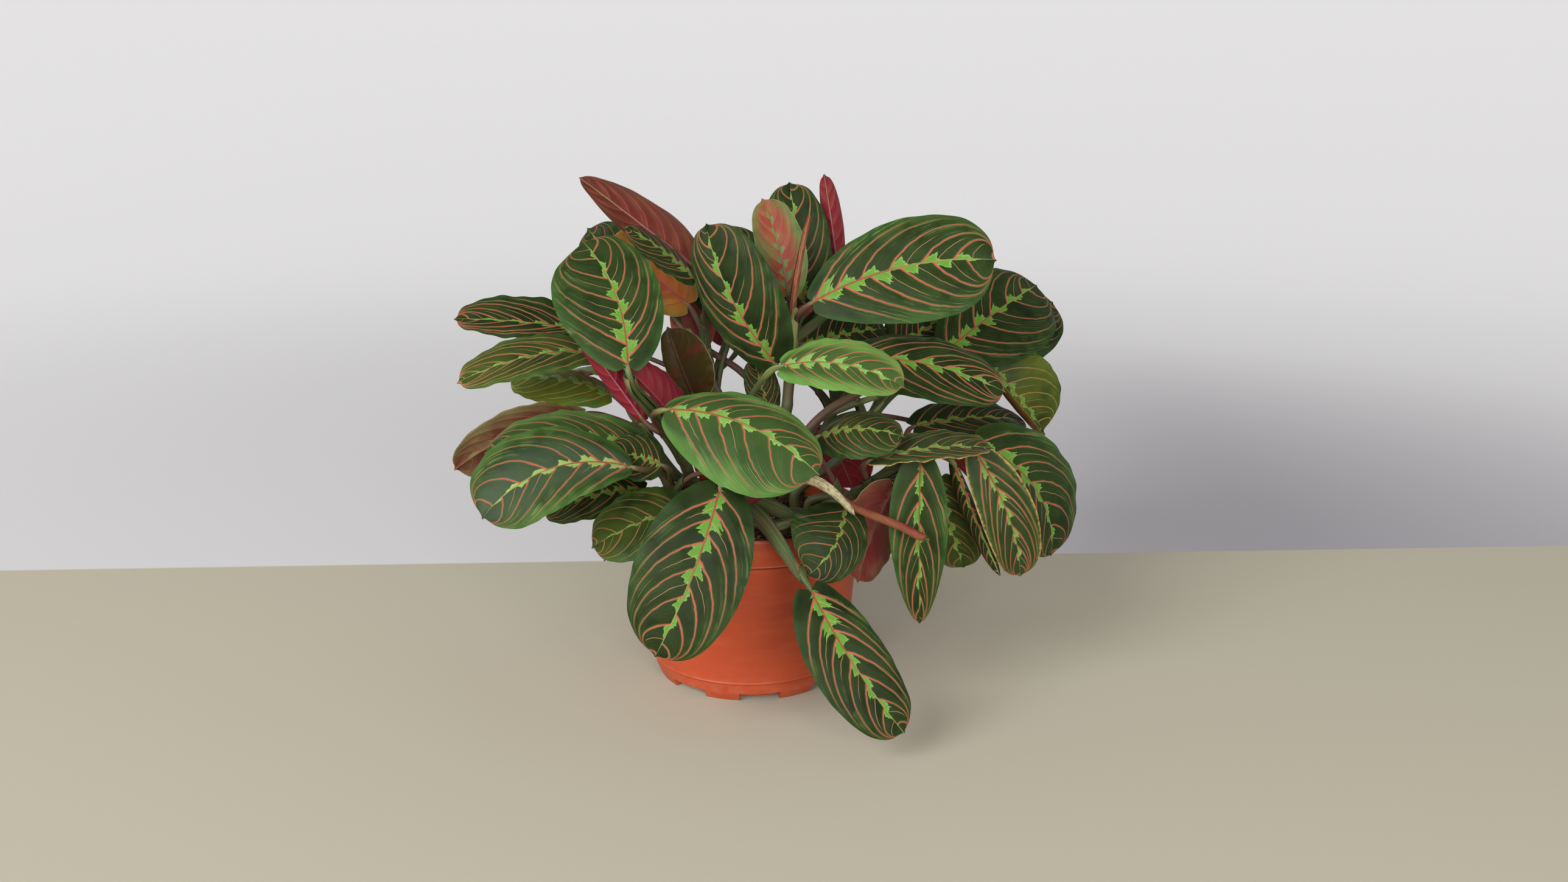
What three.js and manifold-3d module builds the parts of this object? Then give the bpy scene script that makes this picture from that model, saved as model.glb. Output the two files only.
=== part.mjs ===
// A potted prayer plant: a tuft of leafy shoots with broad oval leaves, standing in peat in a plain
// round plastic nursery pot. Millimetres, +Z up. The origin is the middle of the pot's underside,
// on the table; -Y is the side that the biggest drooping leaves face.
import * as THREE from 'three';
import { mergeVertices } from 'three/addons/utils/BufferGeometryUtils.js';
import Module from 'manifold-3d';

// ---- driving dimensions --------------------------------------------------------------------
const GAP = 0.3; // clearance kept between pieces that touch

const POT = {
  rimRadius: 80, rimHeight: 118, rimRound: 0.9, skirtHeight: 18.5, skirtFlare: 1.2,
  neckRadius: 76.2, seamRadius: 69.6, seamHeight: 14, seamStep: 0.7,
  footRadius: 65, footHeight: 7, footFlare: 2.6, footBead: 0.6, wall: 1.7, floor: 1.8,
  padRadius: 12, // flat boss in the middle of the underside
  notches: 8, notchWidth: 27, notchHeight: 5.6, notchDepth: 16, firstNotchAngle: -83,
  drainRadius: 4, drainRing: 45, drainLength: 12, drainSides: 10,
};
const ROUND_SEGMENTS = 32; // the pot and the soil in it share them, so their facets stay parallel

const SOIL = {
  top: 105, moundHeight: 3.5, bumpHeight: 0.96, rings: 3, sideGap: 0.45, wedge: 0.5,
  holeDepth: 24, holeSides: 8,
};

const LEAF = {
  thickness: 0.7, alongCells: 6, acrossCells: 4, curledAcrossCells: 6, curledAngle: 45, shortLength: 90,
  firstRow: 0.035, lastRow: 0.985, roundness: 0.82,
  tipTrim: 0.35, tipLength: 0.05, tipPower: 1.5,
  lobeReach: 0.045, lobeLength: 0.10, lobeStart: 0.35, lobePower: 1.3,
  waves: 2.5, wavePower: 2.5, waveWidth: 1.2, // waves along an edge, and how they grow towards it
};

const STALK = {
  footRadius: 2.9, midRadius: 2.0, endRadius: 1.2, midShare: 0.45, sides: 5, steps: 3,
  highest: 0.97, // no stalk leaves its shoot above this share of it
  climb: 0.4, runIn: 0.33, inLine: 0.75, // how far it follows the shoot, and the midrib it ends in
  approach: 6, neck: 5, gap: 0.6, sunk: 3,
};
const SHOOT = { tipShare: 0.62, sides: 6, steps: 4, straight: 12 };
const ROLL = { sides: 5, steps: 3 };

const COLOUR = { pot: 0xb9542f, soil: 0x2e2018, stem: 0x6b7a3a, leaf: 0x2f5a2c };

// ---- the shoots ----------------------------------------------------------------------------
// foot: where the shoot leaves the soil; bends: the points its centre line passes; radius: at foot.
// A leaf runs from where its stalk ends to its tip; face is the way its upper side looks; at is
// how far up the shoot its stalk starts. width is across the blade; bow and bend arch the midrib
// towards the face and sideways, as shares of the length; fold and curl are the angles in degrees
// at the midrib and on to the edge, one for each half where they differ; lean is the share of the
// width on the second half; belly moves the widest place towards the tip, point slims the tip, and
// wave is the height of the waves along the edges. stalk thickens the foot of the leaf's stalk, and
// via is a place that the stalk passes. A young leaf is grown together with its shoot. A roll is a
// new leaf still rolled up, or a withered sheath, with its radii at the foot, middle and tip.
const SHOOTS = [
  { name: 'a', foot: [-22, -22], bends: [[-34, -32, 140], [-52, -50, 185]], radius: 4.4,
    leaves: [
      { at: 0.98, from: [-73, -70, 228], to: [-106, -15, 300], width: 68, face: [0.15, -1, 0.45],
        stalk: 1.4, bow: 0.05, fold: 6, curl: -12, bend: 0.08, lean: 0.42, belly: 1.1 },
      { at: 0.7, from: [-48, -95, 207], to: [43, -125, 176], width: 66, face: [0.05, -1, 0.95],
        bow: 0.1, fold: -6, curl: -22, bend: -0.06, lean: 0.6, belly: 1.15 },
      { at: 0.85, from: [-67, -49, 190], to: [-107, -45, 246], width: 36, face: [-0.3, 1, 0.25],
        bow: 0.03, fold: 15, curl: 100 },
      { at: 0.75, from: [-43, -40, 184], to: [-76, -45, 223], width: 36, face: [0.2, 1, 0.4],
        bow: 0.03, fold: 15, curl: 80 },
    ],
    young: [
      { at: 0.6, from: [-37, 5, 192], to: [-54, 0, 241], width: 40, face: [0.3, 1, -0.2],
        bow: -0.05, fold: -10, curl: [10, -110], lean: 0.42 },
    ] },
  { name: 'b', foot: [-32, 2], bends: [[-52, 2, 140], [-80, 5, 182]], radius: 4,
    leaves: [
      { at: 1, from: [-103, 15, 236], to: [-196, 0, 248], width: 38, face: [0, -0.35, 1],
        bow: 0.03, fold: [-8, 20], curl: [-20, 14], lean: 0.58 },
      { at: 0.95, from: [-98, -5, 226], to: [-186, -40, 213], width: 42, face: [0.1, -0.55, 1],
        bow: 0.1, fold: 10, curl: -16 },
      { at: 0.8, from: [-95, 10, 194], to: [-165, 15, 204], width: 48, face: [0, -0.35, 1],
        bow: 0.1, fold: -8, curl: -16 },
      { at: 0.7, from: [-113, 5, 182], to: [-209, 20, 139], width: 54, face: [0.1, 0.85, 0.6],
        bow: 0.1, fold: 6, curl: -16, lean: 0.6 },
      { at: 0.35, from: [-95, 12, 134], to: [-106, 22, 70], width: 42, face: [0.8, 0.6, 0.2],
        bow: 0.08, fold: 6, curl: -14 },
    ] },
  { name: 'c', foot: [-38, -32], bends: [[-44, -40, 125], [-52, -52, 150]], radius: 3.8,
    leaves: [
      { at: 1, from: [-70, -85, 168], to: [-157, -115, 146], width: 66, face: [-0.1, -0.9, 1],
        bow: 0.14, fold: 8, curl: -24, bend: 0.09, lean: 0.56, belly: 1.35 },
      { at: 0.95, from: [-63, -29, 163], to: [-170, -44, 167], width: 58, face: [0, -0.6, 1],
        bow: 0.12, fold: 6, curl: -20 },
      { at: 0.75, from: [-36, -72, 138], to: [-96, -86, 117], width: 50, face: [-0.1, -0.75, 0.85],
        bow: 0.08, fold: 6, curl: -14 },
      { at: 0.55, from: [-15, -100, 159], to: [-53, -135, 65], width: 70, face: [-0.1, -1, 0.35],
        bow: 0.06, fold: 8, curl: -18, bend: -0.04, lean: 0.53 },
    ],
    young: [
      { at: 0.65, from: [-67, -45, 142], to: [-133, -50, 128], width: 40, face: [0, -0.6, 1],
        bow: 0.08, fold: 6, curl: -14 },
      { at: 0.9, from: [-53, -69, 165], to: [-87, -69, 174], width: 36, face: [0, -0.8, 0.9],
        bow: 0.08, fold: 6, curl: -14 },
    ] },
  { name: 'd', foot: [-14, 20], bends: [[-20, 30, 160], [-32, 38, 225]], radius: 4.4,
    leaves: [
      { at: 1, from: [-37, 28, 280], to: [-110, 10, 340], width: 60, face: [0.05, 1, -0.05],
        bow: 0.04, fold: 35, curl: 40, belly: 0.9, point: 0.5, wave: 3 },
      { at: 0.9, from: [-44, 49, 251], to: [-100, 55, 294], width: 60, face: [0.3, 1, 0.3],
        bow: 0.05, fold: 6, curl: 10 },
      { at: 0.7, from: [-15, 61, 241], to: [-19, 81, 304], width: 62, face: [0, -1, 0.5],
        bow: 0.05, fold: 6, curl: -10 },
    ],
    young: [
      { at: 0.98, from: [-36, 16, 273], to: [-80, 0, 309], width: 28, face: [-0.2, -0.6, 1],
        bow: 0.05, fold: -5, curl: -20 },
      { at: 0.85, from: [-82, 80, 261], to: [-118, 83, 301], width: 46, face: [-0.3, -0.8, 0.5],
        bow: 0.05, fold: 6, curl: -10, via: [-58, 74, 240] },
    ] },
  { name: 'e', foot: [14, 6], bends: [[24, 4, 170], [31, 8, 240]], radius: 4.8,
    leaves: [
      { at: 0.98, from: [42, -15, 261], to: [160, -20, 290], width: 74, face: [-0.1, -1, 0.55],
        bow: 0.05, fold: 6, curl: -14, bend: -0.06, lean: 0.54, belly: 1.25 },
      { at: 0.95, from: [38, 33, 254], to: [28, 48, 335], width: 46, face: [0.15, -1, 0.3],
        bow: 0.05, fold: 8, curl: -10 },
      { at: 0.9, from: [27, 15, 262], to: [10, 20, 325], width: 38, face: [0.1, 1, 0.1],
        bow: 0.04, fold: 10, curl: 30, bend: -0.03 },
      { at: 0.75, from: [19, -5, 218], to: [-28, 10, 309], width: 56, face: [-0.4, -1, 0.1],
        bow: 0.06, fold: 8, curl: -14, bend: -0.045, lean: 0.62 },
      { at: 0.25, from: [22, -70, 229], to: [95, -95, 222], width: 40, face: [0.1, -0.9, 0.9],
        bow: 0.1, fold: 8, curl: -18, bend: -0.04, via: [2, -55, 203] },
    ],
    young: [
      { at: 0.97, from: [62, 44, 278], to: [52, 45, 340], width: 30, face: [0.1, 1, 0.1],
        bow: 0.04, fold: 15, curl: 90, via: [60, 24, 256] },
      { at: 0.6, from: [38, 25, 227], to: [95, 45, 235], width: 52, face: [0, -1, 0.6],
        bow: 0.06, fold: 8, curl: -12 },
    ],
    rolls: [
      { path: [[29, 7, 222], [30, 3, 258], [37, 2, 300], [41, 3, 317]], radii: [3.2, 2.3, 1.4] },
    ] },
  { name: 'f', foot: [32, 14], bends: [[62, 20, 145], [96, 28, 188]], radius: 4.2,
    leaves: [
      { at: 1, from: [136, 26, 221], to: [210, 87, 260], width: 74, face: [-0.1, -1, 0.5],
        bow: 0.06, fold: 6, curl: -16, lean: 0.56, belly: 1.15 },
      { at: 0.9, from: [165, 80, 211], to: [230, 120, 243], width: 66, face: [-0.15, -1, 0.5],
        bow: 0.06, fold: 6, curl: -16 },
      { at: 0.85, from: [103, 41, 220], to: [160, 80, 247], width: 58, face: [-0.2, -1, 0.6],
        bow: 0.06, fold: 8, curl: -12 },
      { at: 0.95, from: [169, 42, 211], to: [212, 45, 161], width: 60, face: [0.1, -1, 0.35],
        bow: 0.08, fold: 10, curl: [-16, 110], lean: 0.45 },
      { at: 0.7, from: [63, -15, 224], to: [167, -35, 206], width: 56, face: [0.05, -0.75, 1],
        bow: 0.1, fold: 8, curl: -20, lean: 0.54 },
    ] },
  { name: 'g', foot: [26, -34], bends: [[46, -42, 125], [84, -52, 150]], radius: 4,
    leaves: [
      { at: 1, from: [109, -81, 173], to: [111, -85, 66], width: 44, face: [-0.2, -1, 0.1],
        bow: 0.04, fold: 26, curl: -10, point: 0.55 },
      { at: 0.85, from: [78, -83, 172], to: [151, -88, 181], width: 38, face: [0, -0.25, 1],
        bow: 0.06, fold: 6, curl: -10, lean: 0.42 },
      { at: 0.95, from: [125, -45, 150], to: [145, -38, 86], width: 42, face: [-0.3, -1, 0.3],
        bow: 0.06, fold: 10, curl: -12 },
      { at: 0.55, from: [46, -65, 183], to: [97, -85, 188], width: 42, face: [0, -0.75, 1],
        bow: 0.13, fold: -4, curl: -24 },
      { at: 0.8, from: [96, -56, 148], to: [71, -82, 93], width: 50, face: [-0.4, 0.9, 0.3],
        bow: 0.05, fold: 10, curl: -10 },
    ],
    young: [
      { at: 0.98, from: [131, -78, 168], to: [164, -68, 92], width: 30, face: [0.3, -1, -0.2],
        bow: -0.04, fold: -30, curl: -90 },
    ] },
  { name: 'h', foot: [42, -6], bends: [[76, -14, 130], [120, -26, 158]], radius: 3.8,
    leaves: [
      { at: 1, from: [151, -31, 171], to: [205, -35, 94], width: 68, face: [0.55, -0.85, 0.6],
        bow: 0.18, fold: 10, curl: -20, bend: -0.05, lean: 0.42 },
      { at: 0.95, from: [145, -70, 174], to: [179, -61, 89], width: 36, face: [-0.05, -1, 0.3],
        bow: 0.1, fold: 16, curl: -20, bend: -0.05 },
    ],
    young: [
      { at: 0.8, from: [113, 2, 173], to: [196, 37, 169], width: 44, face: [0, -0.5, 1],
        bow: 0.06, fold: 6, curl: -12 },
    ] },
  { name: 'i', foot: [-8, -48], bends: [[-4, -66, 138], [14, -88, 130], [34, -112, 108]], radius: 3.8,
    leaves: [
      { at: 1, from: [40, -120, 101], to: [95, -150, 22], width: 48, face: [0.25, -1, 0.45],
        bow: 0.05, fold: 8, curl: -18, bend: 0.04, lean: 0.53 },
      { at: 0.6, from: [62, -85, 143], to: [40, -110, 107], width: 50, face: [0.1, -1, 0.3],
        bow: 0.1, fold: 6, curl: -14, bend: -0.1, lean: 0.62 },
    ],
    rolls: [
      { path: [[-6, -58, 131], [16, -92, 158], [38, -104, 167], [53, -107, 160], [68, -103, 144]],
        radii: [1.8, 4, 2] },
      { path: [[53, -107, 160], [66, -102, 148], [78, -100, 142], [96, -102, 135], [113, -106, 127]],
        radii: [2, 2.6, 2.8] },
    ] },
  { name: 'j', foot: [-20, 44], bends: [[-28, 56, 150], [-42, 66, 190]], radius: 4.2,
    leaves: [
      { at: 1, from: [-63, 90, 260], to: [-104, 120, 302], width: 60, face: [-0.2, 1, 0.4],
        bow: 0.06, fold: 6, curl: -12 },
      { at: 0.9, from: [-99, 95, 218], to: [-151, 150, 252], width: 60, face: [-0.4, 1, 0.6],
        bow: 0.08, fold: 6, curl: -14 },
      { at: 0.8, from: [-9, 90, 218], to: [-27, 130, 278], width: 60, face: [0, 1, 0.5],
        bow: 0.07, fold: 6, curl: -14 },
      { at: 0.6, from: [-79, 60, 160], to: [-165, 125, 109], width: 60, face: [-0.5, 0.9, 0.8],
        bow: 0.1, fold: 6, curl: -16 },
      { at: 0.4, from: [-3, 75, 161], to: [-30, 140, 90], width: 62, face: [0, 1, 0.8],
        bow: 0.12, fold: 6, curl: -16 },
      { at: 0.7, from: [-82, 88, 186], to: [-142, 156, 178], width: 54, face: [-0.3, 0.4, 1],
        bow: 0.12, fold: 6, curl: -16 },
    ],
    young: [
      { at: 0.95, from: [-40, 76, 214], to: [-46, 83, 258], width: 34, face: [-0.3, 1, 0.3],
        bow: 0.06, fold: 8, curl: -12 },
    ] },
  { name: 'k', foot: [24, 42], bends: [[46, 56, 140], [62, 66, 175]], radius: 4.2,
    leaves: [
      { at: 1, from: [70, 85, 242], to: [126, 150, 271], width: 68, face: [0.3, 1, 0.6],
        bow: 0.07, fold: 6, curl: -14 },
      { at: 0.95, from: [147, 113, 215], to: [198, 170, 225], width: 58, face: [0.5, 1, 0.5],
        bow: 0.08, fold: 6, curl: -14, via: [92, 56, 208] },
      { at: 0.8, from: [75, 73, 186], to: [148, 137, 176], width: 60, face: [0.3, 1, 0.8],
        bow: 0.12, fold: 6, curl: -16 },
      { at: 0.7, from: [137, 60, 160], to: [199, 115, 92], width: 58, face: [0.5, 0.9, 0.7],
        bow: 0.1, fold: 6, curl: -16 },
      { at: 0.5, from: [43, 80, 155], to: [80, 145, 88], width: 60, face: [0.1, 1, 0.8],
        bow: 0.12, fold: 6, curl: -16 },
      { at: 0.85, from: [22, 88, 208], to: [34, 166, 204], width: 52, face: [0, 0.35, 1],
        bow: 0.12, fold: 6, curl: -16 },
    ],
    young: [
      { at: 0.96, from: [50, 74, 212], to: [44, 96, 262], width: 38, face: [0.1, 1, 0.3],
        bow: 0.06, fold: 8, curl: -12 },
    ] },
];

// ---- solids --------------------------------------------------------------------------------
const wasm = await Module();
wasm.setup();

/** A closed mesh with its shared vertices merged, as a solid for joining and cutting. */
function toSolid(geometry) {
  const bare = geometry.clone();
  bare.deleteAttribute('normal');
  bare.deleteAttribute('uv');
  const merged = mergeVertices(bare, 1e-4);
  const index = merged.index.array;
  const keep = [];
  for (let i = 0; i < index.length; i += 3) {
    const [a, b, c] = [index[i], index[i + 1], index[i + 2]];
    if (a !== b && b !== c && c !== a) keep.push(a, b, c);
  }
  return new wasm.Manifold(new wasm.Mesh({
    numProp: 3,
    vertProperties: new Float32Array(merged.attributes.position.array),
    triVerts: new Uint32Array(keep),
  }));
}

/** A solid back as a geometry with flat shading. */
function toGeometry(solid) {
  const mesh = solid.getMesh();
  const geometry = new THREE.BufferGeometry();
  geometry.setAttribute('position', new THREE.BufferAttribute(new Float32Array(mesh.vertProperties), 3));
  geometry.setIndex(Array.from(mesh.triVerts));
  geometry.computeVertexNormals();
  return geometry;
}

/** A surface of revolution about Z from (radius, height) pairs that run from axis to axis. */
function turned(profile, segments) {
  const points = profile.map(([r, z]) => new THREE.Vector2(r, z));
  return new THREE.LatheGeometry(points, segments).rotateX(Math.PI / 2);
}

/** A closed tube round a line of points; ring k has radiusAt(its share of the points). */
function tubeAlong(centres, radiusAt, sides) {
  const steps = centres.length - 1;
  const tangents = centres.map((_, i) => centres[Math.min(i + 1, steps)].clone()
    .sub(centres[Math.max(i - 1, 0)]).normalize());
  const helper = Math.abs(tangents[0].x) > 0.9 ? new THREE.Vector3(0, 1, 0) : new THREE.Vector3(1, 0, 0);
  let normal = new THREE.Vector3().crossVectors(tangents[0], helper).normalize();
  const points = [];
  centres.forEach((centre, i) => {
    normal.addScaledVector(tangents[i], -normal.dot(tangents[i])).normalize();
    const binormal = new THREE.Vector3().crossVectors(tangents[i], normal);
    const radius = radiusAt(i / steps);
    for (let j = 0; j < sides; j++) {
      const angle = (2 * Math.PI * j) / sides;
      points.push(centre.clone()
        .addScaledVector(normal, radius * Math.cos(angle))
        .addScaledVector(binormal, radius * Math.sin(angle)));
    }
  });
  const first = points.push(centres[0]) - 1;
  const last = points.push(centres[steps]) - 1;
  const faces = [];
  for (let i = 0; i < steps; i++) {
    for (let j = 0; j < sides; j++) {
      const k = (j + 1) % sides;
      const [a, b, c, d] = [i * sides + j, i * sides + k, (i + 1) * sides + k, (i + 1) * sides + j];
      faces.push(a, b, c, a, c, d);
    }
  }
  for (let j = 0; j < sides; j++) {
    const k = (j + 1) % sides;
    faces.push(first, k, j, last, steps * sides + j, steps * sides + k);
  }
  const geometry = new THREE.BufferGeometry().setFromPoints(points);
  geometry.setIndex(faces);
  return geometry;
}

// ---- leaves --------------------------------------------------------------------------------
const twoHalves = (value) => (Array.isArray(value) ? value : [value, value]);
const isCurled = (leaf) => twoHalves(leaf.curl).some((angle) => Math.abs(angle) > LEAF.curledAngle);

/** Where a leaf stands: its length and its own axes, x along the midrib and z out of its face. */
function leafAxes(leaf) {
  const base = new THREE.Vector3(...leaf.from);
  const along = new THREE.Vector3(...leaf.to).sub(base);
  const length = along.length();
  along.normalize();
  const face = new THREE.Vector3(...leaf.face);
  face.addScaledVector(along, -face.dot(along)).normalize();
  const across = new THREE.Vector3().crossVectors(face, along);
  return { base, length, along, across, face };
}

/** Direction of the midrib where it leaves the stalk: the slope of its parabola at the base. */
function leafStart(leaf) {
  const { along, across, face } = leafAxes(leaf);
  return along.clone()
    .addScaledVector(face, 4 * (leaf.bow ?? 0))
    .addScaledVector(across, -4 * (leaf.bend ?? 0))
    .normalize();
}

/**
 * A thin closed blade. The midrib arches by a parabola; at each row the half width is a rounded
 * sine of the way along, and each half bends away from the midrib along a circle's arc. The base
 * corners reach back past the stalk as two short lobes, and a wave runs along both edges.
 */
function bladeGeometry(leaf) {
  const { length } = leafAxes(leaf);
  const n = LEAF.alongCells - (length < LEAF.shortLength ? 1 : 0);
  const m = isCurled(leaf) ? LEAF.curledAcrossCells : LEAF.acrossCells;
  const { bow = 0.06, bend = 0, lean = 0.5, belly = 1, point = 0, wave = 0 } = leaf;
  const fold = twoHalves(leaf.fold).map(THREE.MathUtils.degToRad);
  const curl = twoHalves(leaf.curl).map(THREE.MathUtils.degToRad);
  const middle = [];
  for (let i = 0; i <= n; i++) {
    const row = [];
    const tau = LEAF.firstRow + ((LEAF.lastRow - LEAF.firstRow) * i) / n;
    const u = (1 - Math.cos(Math.PI * tau)) / 2;
    const rise = 4 * u * (1 - u);
    const rib = new THREE.Vector3(u * length, -bend * length * rise, bow * length * rise);
    const slope = 4 * (1 - 2 * u);
    const t = new THREE.Vector3(1, -bend * slope, bow * slope).normalize();
    const up = new THREE.Vector3(0, 0, 1).addScaledVector(t, -t.z).normalize();
    const side = new THREE.Vector3().crossVectors(t, up);
    const tipRound = 1 - LEAF.tipTrim * Math.exp(-(((1 - u) / LEAF.tipLength) ** LEAF.tipPower));
    const half = (leaf.width / 2) * Math.sin(Math.PI * tau ** belly) ** LEAF.roundness
      * tipRound * (1 - point * u * u);
    for (let j = 0; j <= m; j++) {
      const v = (2 * j) / m - 1;
      const a = Math.abs(v);
      const which = v < 0 ? 0 : 1;
      const share = which ? 2 * lean : 2 * (1 - lean);
      const [start, turn] = [fold[which], curl[which]];
      const out = (Math.sin(start + turn * a) - Math.sin(start)) / turn;
      const lift = (Math.cos(start) - Math.cos(start + turn * a)) / turn;
      const lobe = Math.max(0, (a - LEAF.lobeStart) / (1 - LEAF.lobeStart)) ** LEAF.lobePower
        * LEAF.lobeReach * length * Math.exp(-u / LEAF.lobeLength) * tau ** (belly - 1);
      const ripple = wave * Math.sin(2 * Math.PI * LEAF.waves * u) * a ** LEAF.wavePower * Math.sign(v)
        * Math.min(1, (LEAF.waveWidth * half) / (leaf.width / 2));
      row.push(rib.clone()
        .addScaledVector(side, half * share * out * Math.sign(v))
        .addScaledVector(up, half * share * lift + ripple)
        .addScaledVector(t, -lobe));
    }
    middle.push(row);
  }
  return thickened(middle);
}

/** Two copies of a grid of points, half the thickness to each side, closed along the edge. */
function thickened(grid) {
  const n = grid.length - 1;
  const m = grid[0].length - 1;
  const at = (i, j) => grid[Math.min(Math.max(i, 0), n)][Math.min(Math.max(j, 0), m)];
  const upper = [];
  const lower = [];
  for (let i = 0; i <= n; i++) {
    for (let j = 0; j <= m; j++) {
      const along = at(i + 1, j).clone().sub(at(i - 1, j));
      const across = at(i, j + 1).clone().sub(at(i, j - 1));
      const normal = along.cross(across).normalize().multiplyScalar(-LEAF.thickness / 2);
      upper.push(grid[i][j].clone().add(normal));
      lower.push(grid[i][j].clone().sub(normal));
    }
  }
  const count = upper.length;
  const number = (i, j) => i * (m + 1) + j;
  const faces = [];
  for (let i = 0; i < n; i++) {
    for (let j = 0; j < m; j++) {
      const [a, b, c, d] = [number(i, j), number(i + 1, j), number(i + 1, j + 1), number(i, j + 1)];
      const corners = j < m / 2 ? [a, b, c, a, c, d] : [a, b, d, b, c, d];
      for (let k = 0; k < 6; k += 3) {
        const [p, q, r] = corners.slice(k, k + 3);
        faces.push(p, r, q, count + p, count + q, count + r);
      }
    }
  }
  const rim = [];
  for (let i = 0; i < n; i++) rim.push(number(i, 0));
  for (let j = 0; j < m; j++) rim.push(number(n, j));
  for (let i = n; i > 0; i--) rim.push(number(i, m));
  for (let j = m; j > 0; j--) rim.push(number(0, j));
  rim.forEach((p, k) => {
    const q = rim[(k + 1) % rim.length];
    faces.push(p, q, count + q, p, count + q, count + p);
  });
  const geometry = new THREE.BufferGeometry().setFromPoints(upper.concat(lower));
  geometry.setIndex(faces);
  return geometry;
}

/** Turns and moves a blade from its own axes to its place on the plant. */
function leafMatrix(leaf) {
  const { base, along, across, face } = leafAxes(leaf);
  return new THREE.Matrix4().makeBasis(along, across, face).setPosition(base);
}

// ---- shoots and stalks -----------------------------------------------------------------------
/** Centre line of a shoot above the soil, through its bends. */
function shootCurve(shoot) {
  const [x, y] = shoot.foot;
  const top = SOIL.top + SOIL.moundHeight + 1;
  const points = [[x, y, top], [x, y, top + SHOOT.straight], ...shoot.bends];
  return new THREE.CatmullRomCurve3(points.map((p) => new THREE.Vector3(...p)), false, 'centripetal');
}

/** Points of a shoot's centre line: straight up out of its hole, then along its curve. */
function shootPoints(shoot) {
  const [x, y] = shoot.foot;
  const bottom = new THREE.Vector3(x, y, SOIL.top - SOIL.holeDepth + GAP);
  return [bottom, ...shootCurve(shoot).getSpacedPoints(SHOOT.steps)];
}

/** A stalk rises along its shoot, swings out and meets the blade in line with its midrib. */
function stalkPoints(shoot, leaf, reach) {
  const line = shootCurve(shoot);
  const share = leaf.at * STALK.highest;
  const start = line.getPointAt(share);
  const climb = line.getTangentAt(share);
  const inward = leafStart(leaf);
  const end = new THREE.Vector3(...leaf.from).addScaledVector(inward, reach);
  const via = leaf.via ? new THREE.Vector3(...leaf.via) : null;
  const turn = inward.clone().multiplyScalar(STALK.inLine)
    .addScaledVector(end.clone().sub(via ?? start).normalize(), 1 - STALK.inLine).normalize();
  const span = end.distanceTo(start);
  const curve = via
    ? new THREE.CatmullRomCurve3([start, via, end.clone().addScaledVector(turn, -STALK.approach), end],
      false, 'centripetal')
    : new THREE.CubicBezierCurve3(start, start.clone().addScaledVector(climb, span * STALK.climb),
      end.clone().addScaledVector(turn, -span * STALK.runIn), end);
  const points = curve.getSpacedPoints(STALK.steps);
  points.splice(-1, 0, end.clone().addScaledVector(inward, -STALK.neck));
  return points;
}

/** A stalk thins quickly as far as its middle, and slowly from there to the blade. */
function stalkRadius(s) {
  const { footRadius, midRadius, endRadius, midShare } = STALK;
  return s < midShare
    ? THREE.MathUtils.lerp(footRadius, midRadius, s / midShare)
    : THREE.MathUtils.lerp(midRadius, endRadius, (s - midShare) / (1 - midShare));
}

/** A new leaf still rolled up, or a withered sheath: a slim tube through its radii. */
function rollGeometry(roll) {
  const curve = new THREE.CatmullRomCurve3(roll.path.map((p) => new THREE.Vector3(...p)));
  const [foot, belly, tip] = roll.radii;
  const radiusAt = (s) => (s < 0.5
    ? THREE.MathUtils.lerp(foot, belly, s * 2)
    : THREE.MathUtils.lerp(belly, tip, s * 2 - 1));
  return tubeAlong(curve.getSpacedPoints(ROLL.steps), radiusAt, ROLL.sides);
}

/** One shoot with all its stalks, and its young and rolled leaves, grown together. */
function shootSolid(shoot) {
  const radiusAt = (s) => shoot.radius * THREE.MathUtils.lerp(1, SHOOT.tipShare, s);
  let solid = toSolid(tubeAlong(shootPoints(shoot), radiusAt, SHOOT.sides));
  const grow = (geometry) => { solid = solid.add(toSolid(geometry)); };
  const growStalk = (leaf, reach) => {
    const radius = (s) => stalkRadius(s) * THREE.MathUtils.lerp(leaf.stalk ?? 1, 1, s);
    grow(tubeAlong(stalkPoints(shoot, leaf, reach), radius, STALK.sides));
  };
  for (const leaf of shoot.leaves) growStalk(leaf, -STALK.gap);
  for (const leaf of shoot.young ?? []) {
    growStalk(leaf, STALK.sunk);
    grow(bladeGeometry(leaf).applyMatrix4(leafMatrix(leaf)));
  }
  for (const roll of shoot.rolls ?? []) grow(rollGeometry(roll));
  return solid;
}

// ---- pot and soil ----------------------------------------------------------------------------
/** Radius of the pot's outer wall at a height between the seam and the rim's skirt. */
function bodyRadius(z) {
  const top = POT.rimHeight - POT.skirtHeight;
  return THREE.MathUtils.mapLinear(z, POT.seamHeight, top, POT.seamRadius, POT.neckRadius);
}

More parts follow.
